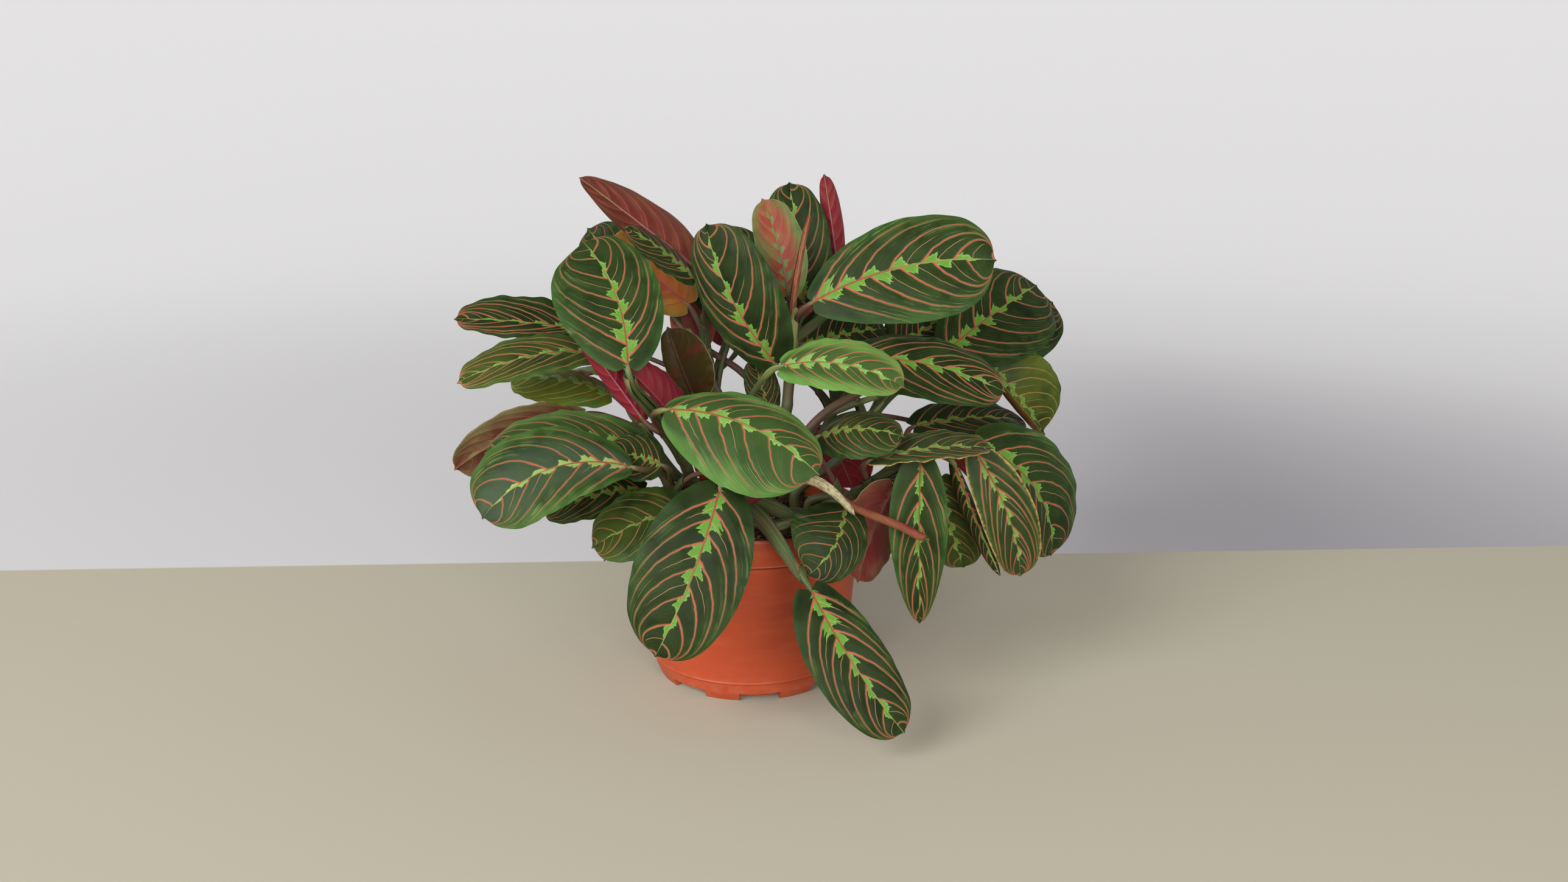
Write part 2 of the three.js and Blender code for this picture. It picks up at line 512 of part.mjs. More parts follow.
/** Thin tapering wall with a rim skirt, a seam above the foot, and a floor raised off the table. */
function potSolid() {
  const { rimRadius, rimHeight, rimRound, skirtFlare, neckRadius, seamRadius, seamHeight, seamStep } = POT;
  const { footRadius, footHeight, footFlare, footBead, padRadius, wall } = POT;
  const skirt = rimHeight - POT.skirtHeight;
  const floorTop = footHeight + POT.floor;
  const profile = [
    [0, 0], [padRadius, 0], [padRadius, footHeight], [footRadius - wall - 2 * footBead, footHeight],
    [footRadius - wall - footBead, 0], [footRadius, 0], [footRadius + footFlare, footHeight - 1],
    [seamRadius - seamStep, seamHeight - seamStep], [seamRadius, seamHeight], [neckRadius, skirt],
    [rimRadius - skirtFlare, skirt - seamStep], [rimRadius, rimHeight - 2 * rimRound],
    [rimRadius - rimRound, rimHeight], [rimRadius - wall, rimHeight - seamStep],
    [rimRadius - wall - rimRound, skirt + wall], [neckRadius - wall, skirt - seamStep],
    [seamRadius - wall, seamHeight], [footRadius - wall / 2, floorTop], [0, floorTop],
  ];
  let solid = toSolid(turned(profile, ROUND_SEGMENTS));
  for (let k = 0; k < POT.notches; k++) {
    const angle = THREE.MathUtils.degToRad(POT.firstNotchAngle + (360 / POT.notches) * k);
    const notch = new THREE.BoxGeometry(POT.notchDepth, POT.notchWidth, POT.notchHeight * 2)
      .translate(footRadius - wall / 2, 0, 0).rotateZ(angle);
    const drain = new THREE.CylinderGeometry(
      POT.drainRadius, POT.drainRadius, POT.drainLength, POT.drainSides,
    ).rotateX(Math.PI / 2).translate(POT.drainRing, 0, footHeight).rotateZ(angle);
    solid = solid.subtract(toSolid(notch)).subtract(toSolid(drain));
  }
  return solid;
}

/** Height of the soil's surface: a low mound with shallow lumps. */
function soilHeight(x, y) {
  const r = Math.hypot(x, y) / (POT.neckRadius - POT.wall);
  const lumps = Math.sin(x * 0.23 + 1.3) * Math.cos(y * 0.19 - 0.7) + 0.6 * Math.sin(x * 0.11 - y * 0.31);
  return SOIL.top + SOIL.moundHeight * (1 - r * r) + SOIL.bumpHeight * lumps * (1 - r ** 6);
}

/** Peat that fills the pot to a finger's width under the rim, with a plain hole for each shoot. */
function soilSolid() {
  const inner = (z) => bodyRadius(z) - POT.wall - SOIL.sideGap - SOIL.wedge;
  const bottom = POT.footHeight + POT.floor + GAP;
  const skirt = POT.rimHeight - POT.skirtHeight;
  const wide = POT.rimRadius - POT.wall - 2 * POT.rimRound - SOIL.sideGap;
  const profile = [
    [0, bottom], [POT.footRadius - POT.wall - 2 * SOIL.wedge, bottom],
    [inner(POT.seamHeight), POT.seamHeight + POT.wall],
    [inner(skirt), skirt - 2 * POT.skirtFlare],
    [wide - SOIL.wedge, skirt + 2 * POT.wall],
    [wide, SOIL.top],
  ];
  for (let k = SOIL.rings - 1; k >= 0; k--) profile.push([(wide * k) / SOIL.rings, SOIL.top]);
  const geometry = turned(profile, ROUND_SEGMENTS);
  const points = geometry.attributes.position;
  const onTop = (k) => Math.abs(points.getZ(k) - SOIL.top) < GAP;
  for (let k = 0; k < points.count; k++) {
    if (onTop(k)) points.setZ(k, soilHeight(points.getX(k), points.getY(k)));
  }
  let solid = toSolid(geometry);
  for (const shoot of SHOOTS) {
    const radius = (shoot.radius + GAP) / Math.cos(Math.PI / SOIL.holeSides);
    const height = SOIL.holeDepth + SOIL.moundHeight * 3;
    const hole = new THREE.CylinderGeometry(radius, radius, height, SOIL.holeSides)
      .rotateX(Math.PI / 2)
      .translate(shoot.foot[0], shoot.foot[1], SOIL.top - SOIL.holeDepth + height / 2);
    solid = solid.subtract(toSolid(hole));
  }
  return solid;
}

// ---- the plant -------------------------------------------------------------------------------
const finish = (color, roughness) => new THREE.MeshStandardMaterial({ color, roughness, metalness: 0 });

function named(name, geometry, material) {
  const mesh = new THREE.Mesh(geometry, material);
  mesh.name = name;
  return mesh;
}

const plant = new THREE.Group();
plant.add(named('pot', toGeometry(potSolid()), finish(COLOUR.pot, 0.42)));
plant.add(named('soil', toGeometry(soilSolid()), finish(COLOUR.soil, 0.95)));
for (const shoot of SHOOTS) {
  plant.add(named(`stem_${shoot.name}`, toGeometry(shootSolid(shoot)), finish(COLOUR.stem, 0.5)));
  shoot.leaves.forEach((leaf, k) => {
    const mesh = named(`leaf_${shoot.name}_${k + 1}`, bladeGeometry(leaf), finish(COLOUR.leaf, 0.45));
    mesh.applyMatrix4(leafMatrix(leaf));
    plant.add(mesh);
  });
}

export default plant;
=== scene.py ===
"""A potted prayer plant in a plain terracotta-coloured nursery pot.

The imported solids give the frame. Each leaf, shoot, the soil and the pot are made again here as fine
surfaces in the same place. The tables below are in millimetres, as the solids are; every mesh is in
metres. The origin is the middle of the pot's underside, with X to the right, Y away from the camera
and Z up.
"""
import math

import bpy
import numpy as np
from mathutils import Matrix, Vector


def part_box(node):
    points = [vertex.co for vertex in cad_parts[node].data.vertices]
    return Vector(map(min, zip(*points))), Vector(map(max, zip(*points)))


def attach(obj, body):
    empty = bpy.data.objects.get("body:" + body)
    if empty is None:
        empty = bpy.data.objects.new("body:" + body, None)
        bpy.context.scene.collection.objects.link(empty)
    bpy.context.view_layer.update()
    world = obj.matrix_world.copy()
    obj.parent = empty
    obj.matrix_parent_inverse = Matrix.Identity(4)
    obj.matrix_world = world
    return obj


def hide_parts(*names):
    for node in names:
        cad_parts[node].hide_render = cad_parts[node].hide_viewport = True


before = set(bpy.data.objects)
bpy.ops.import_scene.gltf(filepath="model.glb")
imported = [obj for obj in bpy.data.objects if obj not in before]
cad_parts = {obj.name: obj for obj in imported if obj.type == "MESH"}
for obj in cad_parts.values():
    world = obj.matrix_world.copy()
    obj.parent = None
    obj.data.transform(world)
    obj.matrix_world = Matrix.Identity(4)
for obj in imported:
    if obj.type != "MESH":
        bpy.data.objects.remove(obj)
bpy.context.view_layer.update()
POT_LOW, POT_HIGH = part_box("pot")

bl_info = {
    "name": "Potted Prayer Plant",
    "version": (1, 0, 0),
    "blender": (4, 5, 0),
    "location": "3D View > Sidebar > Prayer Plant",
    "description": "Builds a prayer plant with patterned leaves in a plastic nursery pot",
    "category": "Add Mesh",
}

MM = 0.001
HALF_A_STEP = 0.35  # how much later the left half's side veins leave the midrib than the right's
LEFT_HALF, NEXT_LEAF = 20, 40  # steps in vein number from a right half to its left one, and to a new leaf
MARKS = ("Rib", "Lateral", "Border", "Branch", "Feather", "Fringe", "Blotch", "Streak", "Fleck")
# Which of a shoot's materials the two sides of a young leaf, a rolled leaf and a sheath have.
YOUNG_LEAF, ROLLED_LEAF, SHEATHING = (1, 2), (2, 1), (3, 3)


def leaf(at, base, tip, width, face, look, **shape):
    """One leaf: where its stalk leaves the shoot, where the blade runs, and how it looks."""
    return dict(at=at, base=base, tip=tip, width=width, face=face, look=look, **shape)


# ---- the plant's table, in millimetres -----------------------------------------------------------
# foot: where the shoot leaves the soil; bends: the points its centre line passes; radius: at foot.
# leaf: how far up the shoot its stalk starts, where the blade starts, where its tip is, the width,
# the way its upper side looks, and its look. bow and bend arch the midrib towards the face and
# sideways, as shares of the length; fold and curl are the angles in degrees at the midrib and on to
# the edge, one for each half where they differ; lean is the share of the width on the second half;
# belly moves the widest place towards the tip, point slims the tip and wave waves the edges. quilt,
# veins and flame are shares of the usual swelling between the veins, number of side veins and reach
# of the pale mark, and steep sends the veins further forward. via is a point that the stalk passes,
# stalk how much thicker its foot is, red how red it is and sheath how far up it its sheath reaches.
# young: small leaves that are part of their shoot's piece, as the next two are. stems: bare stalks.
# rolls: leaves still rolled up, and loose sheaths. turns is how far one goes round its path, back
# the side where its edges meet, and slots the materials of its outside and its inside.
SHOOTS = [
    dict(name="a", foot=(-22, -22), bends=[(-34, -32, 140), (-52, -50, 185)], radius=4.4,
         leaves=[
             leaf(0.98, (-73, -70, 228), (-106, -15, 300), 68, (0.15, -1, 0.45), "grown",
                  stalk=1.4, red=-0.2, sheath=0.86, bow=0.05, fold=6, curl=-12, bend=0.08,
                  lean=0.42, belly=1.1),
             leaf(0.7, (-48, -95, 207), (43, -125, 176), 66, (0.05, -1, 0.95), "soft", flame=0.8,
                  bow=0.1, fold=-6, curl=-22, bend=-0.06, lean=0.6, belly=1.15),
             leaf(0.85, (-67, -49, 190), (-107, -45, 246), 36, (-0.3, 1, 0.25), "crimson",
                  bow=0.03, fold=15, curl=100, quilt=2.5),
             leaf(0.75, (-43, -40, 184), (-76, -45, 223), 36, (0.2, 1, 0.4), "crimson",
                  bow=0.03, fold=15, curl=80, quilt=2.5),
         ],
         young=[
             leaf(0.6, (-37, 5, 192), (-54, 0, 241), 40, (0.3, 1, -0.2), "umber",
                  bow=-0.05, fold=-10, curl=(10, -110), lean=0.42),
         ]),
    dict(name="b", foot=(-32, 2), bends=[(-52, 2, 140), (-80, 5, 182)], radius=4,
         leaves=[
             leaf(1, (-103, 15, 236), (-196, 0, 248), 38, (0, -0.35, 1), "shade",
                  bow=0.03, fold=(-8, 20), curl=(-20, 14), lean=0.58, steep=1.5, flame=0.4),
             leaf(0.95, (-98, -5, 226), (-186, -40, 213), 42, (0.1, -0.55, 1), "tawny",
                  bow=0.1, fold=10, curl=-16, flame=0.5, steep=1.4),
             leaf(0.8, (-95, 10, 194), (-165, 15, 204), 48, (0, -0.35, 1), "amber",
                  bow=0.1, fold=-8, curl=-16),
             leaf(0.7, (-113, 5, 182), (-209, 20, 139), 54, (0.1, 0.85, 0.6), "sage",
                  bow=0.1, fold=6, curl=-16, lean=0.6),
             leaf(0.35, (-95, 12, 134), (-106, 22, 70), 42, (0.8, 0.6, 0.2), "grown",
                  bow=0.08, fold=6, curl=-14),
         ]),
    dict(name="c", foot=(-38, -32), bends=[(-44, -40, 125), (-52, -52, 150)], radius=3.8,
         leaves=[
             leaf(1, (-70, -85, 168), (-157, -115, 146), 66, (-0.1, -0.9, 1), "pale", flame=0.75,
                  bow=0.14, fold=8, curl=-24, bend=0.09, lean=0.56, belly=1.35),
             leaf(0.95, (-63, -29, 163), (-170, -44, 167), 58, (0, -0.6, 1), "soft",
                  bow=0.12, fold=6, curl=-20),
             leaf(0.75, (-36, -72, 138), (-96, -86, 117), 50, (-0.1, -0.75, 0.85), "tawny",
                  bow=0.08, fold=6, curl=-14, flame=0.5),
             leaf(0.55, (-15, -100, 159), (-53, -135, 65), 70, (-0.1, -1, 0.35), "shade",
                  bow=0.06, fold=8, curl=-18, bend=-0.04, lean=0.53),
         ],
         young=[
             leaf(0.65, (-67, -45, 142), (-133, -50, 128), 40, (0, -0.6, 1), "shade",
                  bow=0.08, fold=6, curl=-14),
             leaf(0.9, (-53, -69, 165), (-87, -69, 174), 36, (0, -0.8, 0.9), "shade",
                  bow=0.08, fold=6, curl=-14),
         ]),
    dict(name="d", foot=(-14, 20), bends=[(-20, 30, 160), (-32, 38, 225)], radius=4.4,
         leaves=[
             leaf(1, (-37, 28, 280), (-110, 10, 340), 60, (0.05, 1, -0.05), "ember",
                  bow=0.04, fold=35, curl=40, belly=0.9, point=0.5, wave=3, quilt=3),
             leaf(0.9, (-44, 49, 251), (-100, 55, 294), 60, (0.3, 1, 0.3), "amber",
                  bow=0.05, fold=6, curl=10, quilt=2),
             leaf(0.7, (-15, 61, 241), (-19, 81, 304), 62, (0, -1, 0.5), "shade",
                  bow=0.05, fold=6, curl=-10),
         ],
         young=[
             leaf(0.98, (-36, 16, 273), (-80, 0, 309), 28, (-0.2, -0.6, 1), "shade",
                  bow=0.05, fold=-5, curl=-20),
             leaf(0.85, (-82, 80, 261), (-118, 83, 301), 46, (-0.3, -0.8, 0.5), "shade",
                  bow=0.05, fold=6, curl=-10, via=(-58, 74, 240)),
         ]),
    dict(name="e", foot=(14, 6), bends=[(24, 4, 170), (31, 8, 240)], radius=4.8,
         leaves=[
             leaf(0.98, (42, -15, 261), (160, -20, 290), 74, (-0.1, -1, 0.55), "grown",
                  bow=0.05, fold=6, curl=-14, bend=-0.06, lean=0.54, belly=1.25),
             leaf(0.95, (38, 33, 254), (28, 48, 335), 46, (0.15, -1, 0.3), "shade",
                  bow=0.05, fold=8, curl=-10),
             leaf(0.9, (27, 15, 262), (10, 20, 325), 38, (0.1, 1, 0.1), "rosy",
                  bow=0.04, fold=10, curl=30, bend=-0.03),
             leaf(0.75, (19, -5, 218), (-28, 10, 309), 56, (-0.4, -1, 0.1), "shade",
                  flame=0.8, bow=0.06, fold=8, curl=-14, bend=-0.045, lean=0.62),
             leaf(0.25, (22, -70, 229), (95, -95, 222), 40, (0.1, -0.9, 0.9), "lush",
                  bow=0.1, fold=8, curl=-18, bend=-0.04, via=(2, -55, 203), flame=1.1, red=-0.6, stalk=1.3),
         ],
         young=[
             leaf(0.97, (62, 44, 278), (52, 45, 340), 30, (0.1, 1, 0.1), "dull",
                  bow=0.04, fold=15, curl=90, via=(60, 24, 256), quilt=2.5),
             leaf(0.6, (38, 25, 227), (95, 45, 235), 52, (0, -1, 0.6), "shade",
                  bow=0.06, fold=8, curl=-12),
             leaf(0.3, (14, 8, 180), (3, 14, 218), 24, (0.2, -1, 0.1), "shade",
                  bow=0.06, fold=8, curl=-12, flame=0.4),
         ],
         stems=[
             dict(path=[(12, 12, 165), (4, 22, 196), (-7, 30, 207), (-29, 42, 219), (-46, 50, 229)],
                  radii=(3, 2.7, 2.4, 2.1), red=0.8),
             dict(path=[(0, 20, 150), (-20, 25, 188), (-29, 30, 206), (-44, 38, 236)],
                  radii=(3.2, 2.9, 2.5, 2.2), red=0.5),
             dict(path=[(-16, 24, 150), (-23, 30, 189), (-16, 34, 223), (-6, 36, 240)],
                  radii=(2.2, 1.9, 1.6), red=0.3),
             dict(path=[(30, -2, 150), (41, -10, 174), (55, -6, 187), (74, 2, 196), (96, 14, 204)],
                  radii=(3.6, 3.4, 3, 2.4, 1.8), red=0.7),
             dict(path=[(36, 12, 150), (48, 10, 176), (66, 14, 184), (90, 20, 191)],
                  radii=(3, 2.8, 2.6, 2), red=0.2),
         ],
         rolls=[
             dict(path=[(29, 7, 222), (30, 3, 258), (37, 2, 300), (41, 3, 317)],
                  radii=(3.4, 2.6, 1.6), look="spear"),
             dict(path=[(25, 1, 212), (29, 1, 234), (32, 2, 256)], radii=(3.6, 3.4, 2.2),
                  look="fresh", turns=0.75, slots=SHEATHING),
         ]),
    dict(name="f", foot=(32, 14), bends=[(62, 20, 145), (96, 28, 188)], radius=4.2,
         leaves=[
             leaf(1, (136, 26, 221), (210, 87, 260), 74, (-0.1, -1, 0.5), "shade",
                  bow=0.06, fold=6, curl=-16, lean=0.56, belly=1.15),
             leaf(0.9, (165, 80, 211), (230, 120, 243), 66, (-0.15, -1, 0.5), "shade",
                  bow=0.06, fold=6, curl=-16),
             leaf(0.85, (103, 41, 220), (160, 80, 247), 58, (-0.2, -1, 0.6), "shade",
                  bow=0.06, fold=8, curl=-12, flame=0.6, steep=1.3),
             leaf(0.95, (169, 42, 211), (212, 45, 161), 60, (0.1, -1, 0.35), "bronze",
                  bow=0.08, fold=10, curl=(-16, 110), lean=0.45),
             leaf(0.7, (63, -15, 224), (167, -35, 206), 56, (0.05, -0.75, 1), "shade",
                  bow=0.1, fold=8, curl=-20, lean=0.54, steep=1.25),
         ]),
    dict(name="g", foot=(26, -34), bends=[(46, -42, 125), (84, -52, 150)], radius=4,
         leaves=[
             leaf(1, (109, -81, 173), (111, -85, 66), 44, (-0.2, -1, 0.1), "grown",
                  bow=0.04, fold=26, curl=-10, point=0.55, flame=0.55, steep=1.15, veins=0.8),
             leaf(0.85, (78, -83, 172), (151, -88, 181), 38, (0, -0.25, 1), "scorched",
                  bow=0.06, fold=6, curl=-10, lean=0.42),
             leaf(0.95, (125, -45, 150), (145, -38, 86), 42, (-0.3, -1, 0.3), "tawny",
                  bow=0.06, fold=10, curl=-12),
             leaf(0.55, (46, -65, 183), (97, -85, 188), 42, (0, -0.75, 1), "grown",
                  bow=0.13, fold=-4, curl=-24),
             leaf(0.8, (96, -56, 148), (71, -82, 93), 50, (-0.4, 0.9, 0.3), "wine",
                  bow=0.05, fold=10, curl=-10),
         ],
         young=[
             leaf(0.98, (131, -78, 168), (164, -68, 92), 30, (0.3, -1, -0.2), "shade",
                  bow=-0.04, fold=-30, curl=-90, flame=0.3),
         ]),
    dict(name="h", foot=(42, -6), bends=[(76, -14, 130), (120, -26, 158)], radius=3.8,
         leaves=[
             leaf(1, (151, -31, 171), (205, -35, 94), 68, (0.55, -0.85, 0.6), "grown",
                  bow=0.18, fold=10, curl=-20, bend=-0.05, lean=0.42),
             leaf(0.95, (145, -70, 174), (179, -61, 89), 36, (-0.05, -1, 0.3), "scorched",
                  bow=0.1, fold=16, curl=-20, bend=-0.05, steep=1.4, flame=0.6),
         ],
         young=[
             leaf(0.8, (113, 2, 173), (196, 37, 169), 44, (0, -0.5, 1), "shade",
                  bow=0.06, fold=6, curl=-12, flame=0.6),
         ]),
    dict(name="i", foot=(-8, -48), bends=[(-4, -66, 138), (14, -88, 130), (34, -112, 108)], radius=3.8,
         leaves=[
             leaf(1, (40, -120, 101), (95, -150, 22), 48, (0.25, -1, 0.45), "shade", red=-0.6,
                  flame=0.85, bow=0.05, fold=8, curl=-18, bend=0.04, lean=0.53),
             leaf(0.6, (62, -85, 143), (40, -110, 107), 50, (0.1, -1, 0.3), "shade",
                  bow=0.1, fold=6, curl=-14, bend=-0.1, lean=0.62, flame=0.6, veins=0.9),
         ],
         rolls=[
             dict(path=[(-6, -58, 131), (16, -92, 158), (38, -104, 167), (53, -107, 160), (68, -103, 144)],
                  radii=(2.4, 5, 2.2), look="withered", turns=0.5, slots=SHEATHING),
             dict(path=[(53, -107, 160), (66, -102, 148), (78, -100, 142), (96, -102, 135), (113, -106, 127)],
                  radii=(2, 2.6, 2.8), look="blush", back=(0, -1, 0.3)),
             dict(path=[(-1, -68, 139), (13, -88, 132), (25, -103, 119), (35, -114, 106)],
                  radii=(5.2, 5.4, 4.6, 3.2), look="leafy", turns=0.6, slots=SHEATHING),
             dict(path=[(-8, -56, 140), (12, -66, 138), (41, -80, 128)],
                  radii=(4.4, 4.8, 3.2), look="leafy", turns=0.8, slots=SHEATHING),
         ]),
    dict(name="j", foot=(-20, 44), bends=[(-28, 56, 150), (-42, 66, 190)], radius=4.2,
         leaves=[
             leaf(1, (-63, 90, 260), (-104, 120, 302), 60, (-0.2, 1, 0.4), "grown",
                  bow=0.06, fold=6, curl=-12),
             leaf(0.9, (-99, 95, 218), (-151, 150, 252), 60, (-0.4, 1, 0.6), "soft",
                  bow=0.08, fold=6, curl=-14),
             leaf(0.8, (-9, 90, 218), (-27, 130, 278), 60, (0, 1, 0.5), "grown",
                  bow=0.07, fold=6, curl=-14),
             leaf(0.6, (-79, 60, 160), (-165, 125, 109), 60, (-0.5, 0.9, 0.8), "grown",
                  bow=0.1, fold=6, curl=-16),
             leaf(0.4, (-3, 75, 161), (-30, 140, 90), 62, (0, 1, 0.8), "grown",
                  bow=0.12, fold=6, curl=-16),
             leaf(0.7, (-82, 88, 186), (-142, 156, 178), 54, (-0.3, 0.4, 1), "soft",
                  bow=0.12, fold=6, curl=-16),
         ],
         young=[
             leaf(0.95, (-40, 76, 214), (-46, 83, 258), 34, (-0.3, 1, 0.3), "fresh",
                  bow=0.06, fold=8, curl=-12),
         ]),
    dict(name="k", foot=(24, 42), bends=[(46, 56, 140), (62, 66, 175)], radius=4.2,
         leaves=[
             leaf(1, (70, 85, 242), (126, 150, 271), 68, (0.3, 1, 0.6), "grown",
                  bow=0.07, fold=6, curl=-14),
             leaf(0.95, (147, 113, 215), (198, 170, 225), 58, (0.5, 1, 0.5), "shade",
                  bow=0.08, fold=6, curl=-14, via=(92, 56, 208)),
             leaf(0.8, (75, 73, 186), (148, 137, 176), 60, (0.3, 1, 0.8), "soft",
                  bow=0.12, fold=6, curl=-16),
             leaf(0.7, (137, 60, 160), (199, 115, 92), 58, (0.5, 0.9, 0.7), "grown",
                  bow=0.1, fold=6, curl=-16),
             leaf(0.5, (43, 80, 155), (80, 145, 88), 60, (0.1, 1, 0.8), "grown",
                  bow=0.12, fold=6, curl=-16),
             leaf(0.85, (22, 88, 208), (34, 166, 204), 52, (0, 0.35, 1), "fresh",
                  bow=0.12, fold=6, curl=-16),
         ],
         young=[
             leaf(0.96, (50, 74, 212), (44, 96, 262), 38, (0.1, 1, 0.3), "fresh",
                  bow=0.06, fold=8, curl=-12),
         ]),
]

# How dark the blotches are, how bright the green or the red is, how yellow, how withered and how
# silvery green a leaf is. The yellow of an underside is partly painted light shining through the
# leaf, and the silver of an upper side also paints a grey-green sheen.
LOOKS = {
    "grown": (1.0, 0.25, 0.05, 0.0, 0.0),
    "soft": (0.9, 0.65, 0.05, 0.0, 0.0),
    "pale": (1.0, 0.38, 0.05, 0.0, 0.4),
    "lush": (0.9, 1.00, 0.10, 0.0, 0.0),
    "fresh": (0.6, 1.00, 0.15, 0.0, 0.0),
    "shade": (1.0, 0.08, 0.05, 0.0, 0.0),
    "tawny": (0.9, 0.30, 0.30, 0.0, 0.0),
    "bronze": (0.8, 0.25, 0.75, 0.0, 0.0),
    "umber": (0.9, 0.00, 0.90, 0.0, 0.0),
    "amber": (0.5, 0.50, 1.00, 0.0, 0.0),
    "ember": (1.0, 0.12, 0.45, 0.0, 0.1),
    "crimson": (1.0, 0.25, 0.00, 0.0, 0.0),
    "wine": (1.0, 0.00, 0.20, 0.0, 0.3),
    "sage": (0.8, 0.10, 0.45, 0.0, 1.0),
    "rosy": (0.7, 0.60, 0.30, 0.0, 1.0),
    "dull": (1.0, 0.15, 0.05, 0.0, 0.1),
    "scorched": (1.0, 0.25, 0.10, 0.35, 0.1),
    "spear": (0.4, 0.35, 0.50, 0.0, 0.3),
    "blush": (0.4, 0.32, 0.30, 0.0, 0.2),
    "withered": (0.3, 0.50, 0.00, 1.0, 0.3),
    "leafy": (0.3, 0.10, 0.00, 0.0, 0.0),
}

# ---- colours that the materials mix in beside the settings' own, as picture editors show them --------
TINTS = {
    # upper side of a leaf
    "fresh margin": "4f7634", "fresh ground": "2f4420", "leaf streak": "7f9f57", "olive leaf": "565a18",
    "painted silver sheen": "86988a", "vein border": "7f9a50", "fresh feather": "7fa65c",
    "silver feather": "8f9858", "outer vein": "84463a", "olive vein": "8f7a40", "thin branch": "a8845a",
    "midrib": "80402f", "midrib tip": "7a8448", "dry brown": "8a6238", "dry tan": "c2a26a",
    # underside of a leaf
    "bright wine": "781a28", "rose": "873c38", "light rose": "9c5249", "olive": "2c2c10",
    "olive rim": "30360f", "ochre": "8a4218", "ochre rim": "7c6a24", "sage": "6f6a42",
    "fresh sage": "58703c", "red streak": "a85a50", "red branch": "a04a50", "red vein": "a8434a",
    "red midrib": "98505a", "red midrib tip": "8a6a4a", "pale edge": "9a9066",
    "dry red brown": "8a5a38", "dry cream": "cbb088",
    # stalks
    "stalk green": "38431b", "stalk red": "4f3024", "stalk joint": "75803c", "stalk ridge": "6c7038",
    "stalk spot": "553423",
    # sheaths
    "sheath green": "2c3f19", "sheath brown": "3f3a20", "fresh sheath": "8a9052",
    "sheath rib": "7c8a4c", "dry sheath streak": "7a4038", "dry sheath": "a8a880",
    "dry sheath foot": "6e2428", "sheath tip": "5f4126", "sheath tip rib": "9a7c4e",
    # pot
    "bright plastic": "a04224", "flow mark": "bb5f3d", "dark plastic": "8f4226",
    "skirt shadow": "4a1d0e", "painted lip highlight": "dc9676", "dust": "b89478", "scuff": "d8a184",
    # peat and backdrop
    "brown peat": "3f2a1c", "dry peat": "6a4a33", "brown fibre": "6b4528", "tan fibre": "c39a68",
    "dull fibre": "8a643f", "wall in shade": "75707a",
}

# ---- how a blade and a stalk grow, in millimetres, the same rules as the solids' ---------------------
# BLADE: its grid and the stretch of its sine; how round its outline is, how much blunter and shorter
# near the tip; its base corners, the lobes; the waves of its edge, and its frills, each a share and a
# number of ripples; its drawn-out point; and the midrib's keel below and crest above.
# SWEEP: the side veins, by the formula at vein_numbers().
BLADE = dict(rows=72, columns=36, first=0.010, last=0.997, roundness=0.82, blunter=0.12,
             tip_trim=0.10, tip_length=0.05, tip_power=1.5,
             lobe_reach=0.045, lobe_length=0.10, lobe_start=0.35, lobe_power=1.3,
             waves=2.5, wave_power=2.5, wave_width=1.2, usual_length=110, finer_by_rib=1.4,
             frills=((0.6, 3.3), (0.4, 7.1)), point_width=1.1, point_power=1.2, point_length=7,
             keel=1.0, keel_width=1.1, keel_fades=0.8, crest=0.15, crest_width=0.7,
             smallest_marks=0.45)
SWEEP = dict(linear=0.30, outer=0.64, power=3.4, base=0.30, rise=0.75, settle=0.17, most=0.99,
             forward=0.42, sooner=1.4, turn_from=0.25, turn_to=0.75,
             crowd=0.80, near=0.02, first=0.59)
# A side vein's half width and how much one may be wider, how it slims, and how far it wanders. The
# feather's reach, and where between two veins its lobe is full, starts to shrink and is gone, how
# much sooner near the tip, and how many comb lines and teeth a vein's step has and how deep.
VEINS = dict(half_width=0.50, wider=0.30, slims_out=0.45, slims_to_tip=0.25, wanders=0.16)
FEATHER = dict(reach=6.2, by_vein=0.62, full=0.22, shrinks=0.48, gone=0.92, sooner=0.30,
               combs=6.2, comb_depth=1.6, teeth=19, teeth_depth=0.5)
# STALK: where the highest leaves the shoot; how it climbs, runs in and turns, as shares of its span;
# its run to the blade past a via point, how far it stops short of it, and how far it then goes under
# it and how deep; and its thickness: at the foot, how much slimmer halfway, at the joint, towards the
# end, and its groove and ribs. SHEATH: its rows, its radius at the foot and at its end, how far round
# the stalk it goes, how much tighter its inner edge is, its slanted end, and its shares of the stalk.
STALK = dict(highest=0.97, climb=0.4, run_in=0.33, in_line=0.75, approach=6, short=0.6,
             under=8, sinks=0.9, rows=64, sides=16, foot=3.0, slimmer=1.25,
             joint=0.45, joint_at=9, joint_length=6, joint_ends=3, end_slims=0.75,
             groove=0.10, groove_width=0.6, ribs=0.03, rib_count=5)
SHEATH = dict(rows=30, foot=3.9, end_share=0.72, turns=0.82, spiral=0.02, slanted=0.5,
              shortest=0.34, longest=0.46, skin=0.22)
# SHOOT: its tip's share of its radius, its upright start, the mound it stands on and how deep, the
# rings where stalks leave it, and how far round itself a rolled leaf goes and how its end is slanted.
SHOOT = dict(tip_share=0.62, rows=90, sides=24, straight=12, soil_top=105, mound=3.5, depth=23.7,
             ring=0.5, ring_length=0.02, ground=0.2, rolled_turns=1.45, rolled_slanted=0.9)
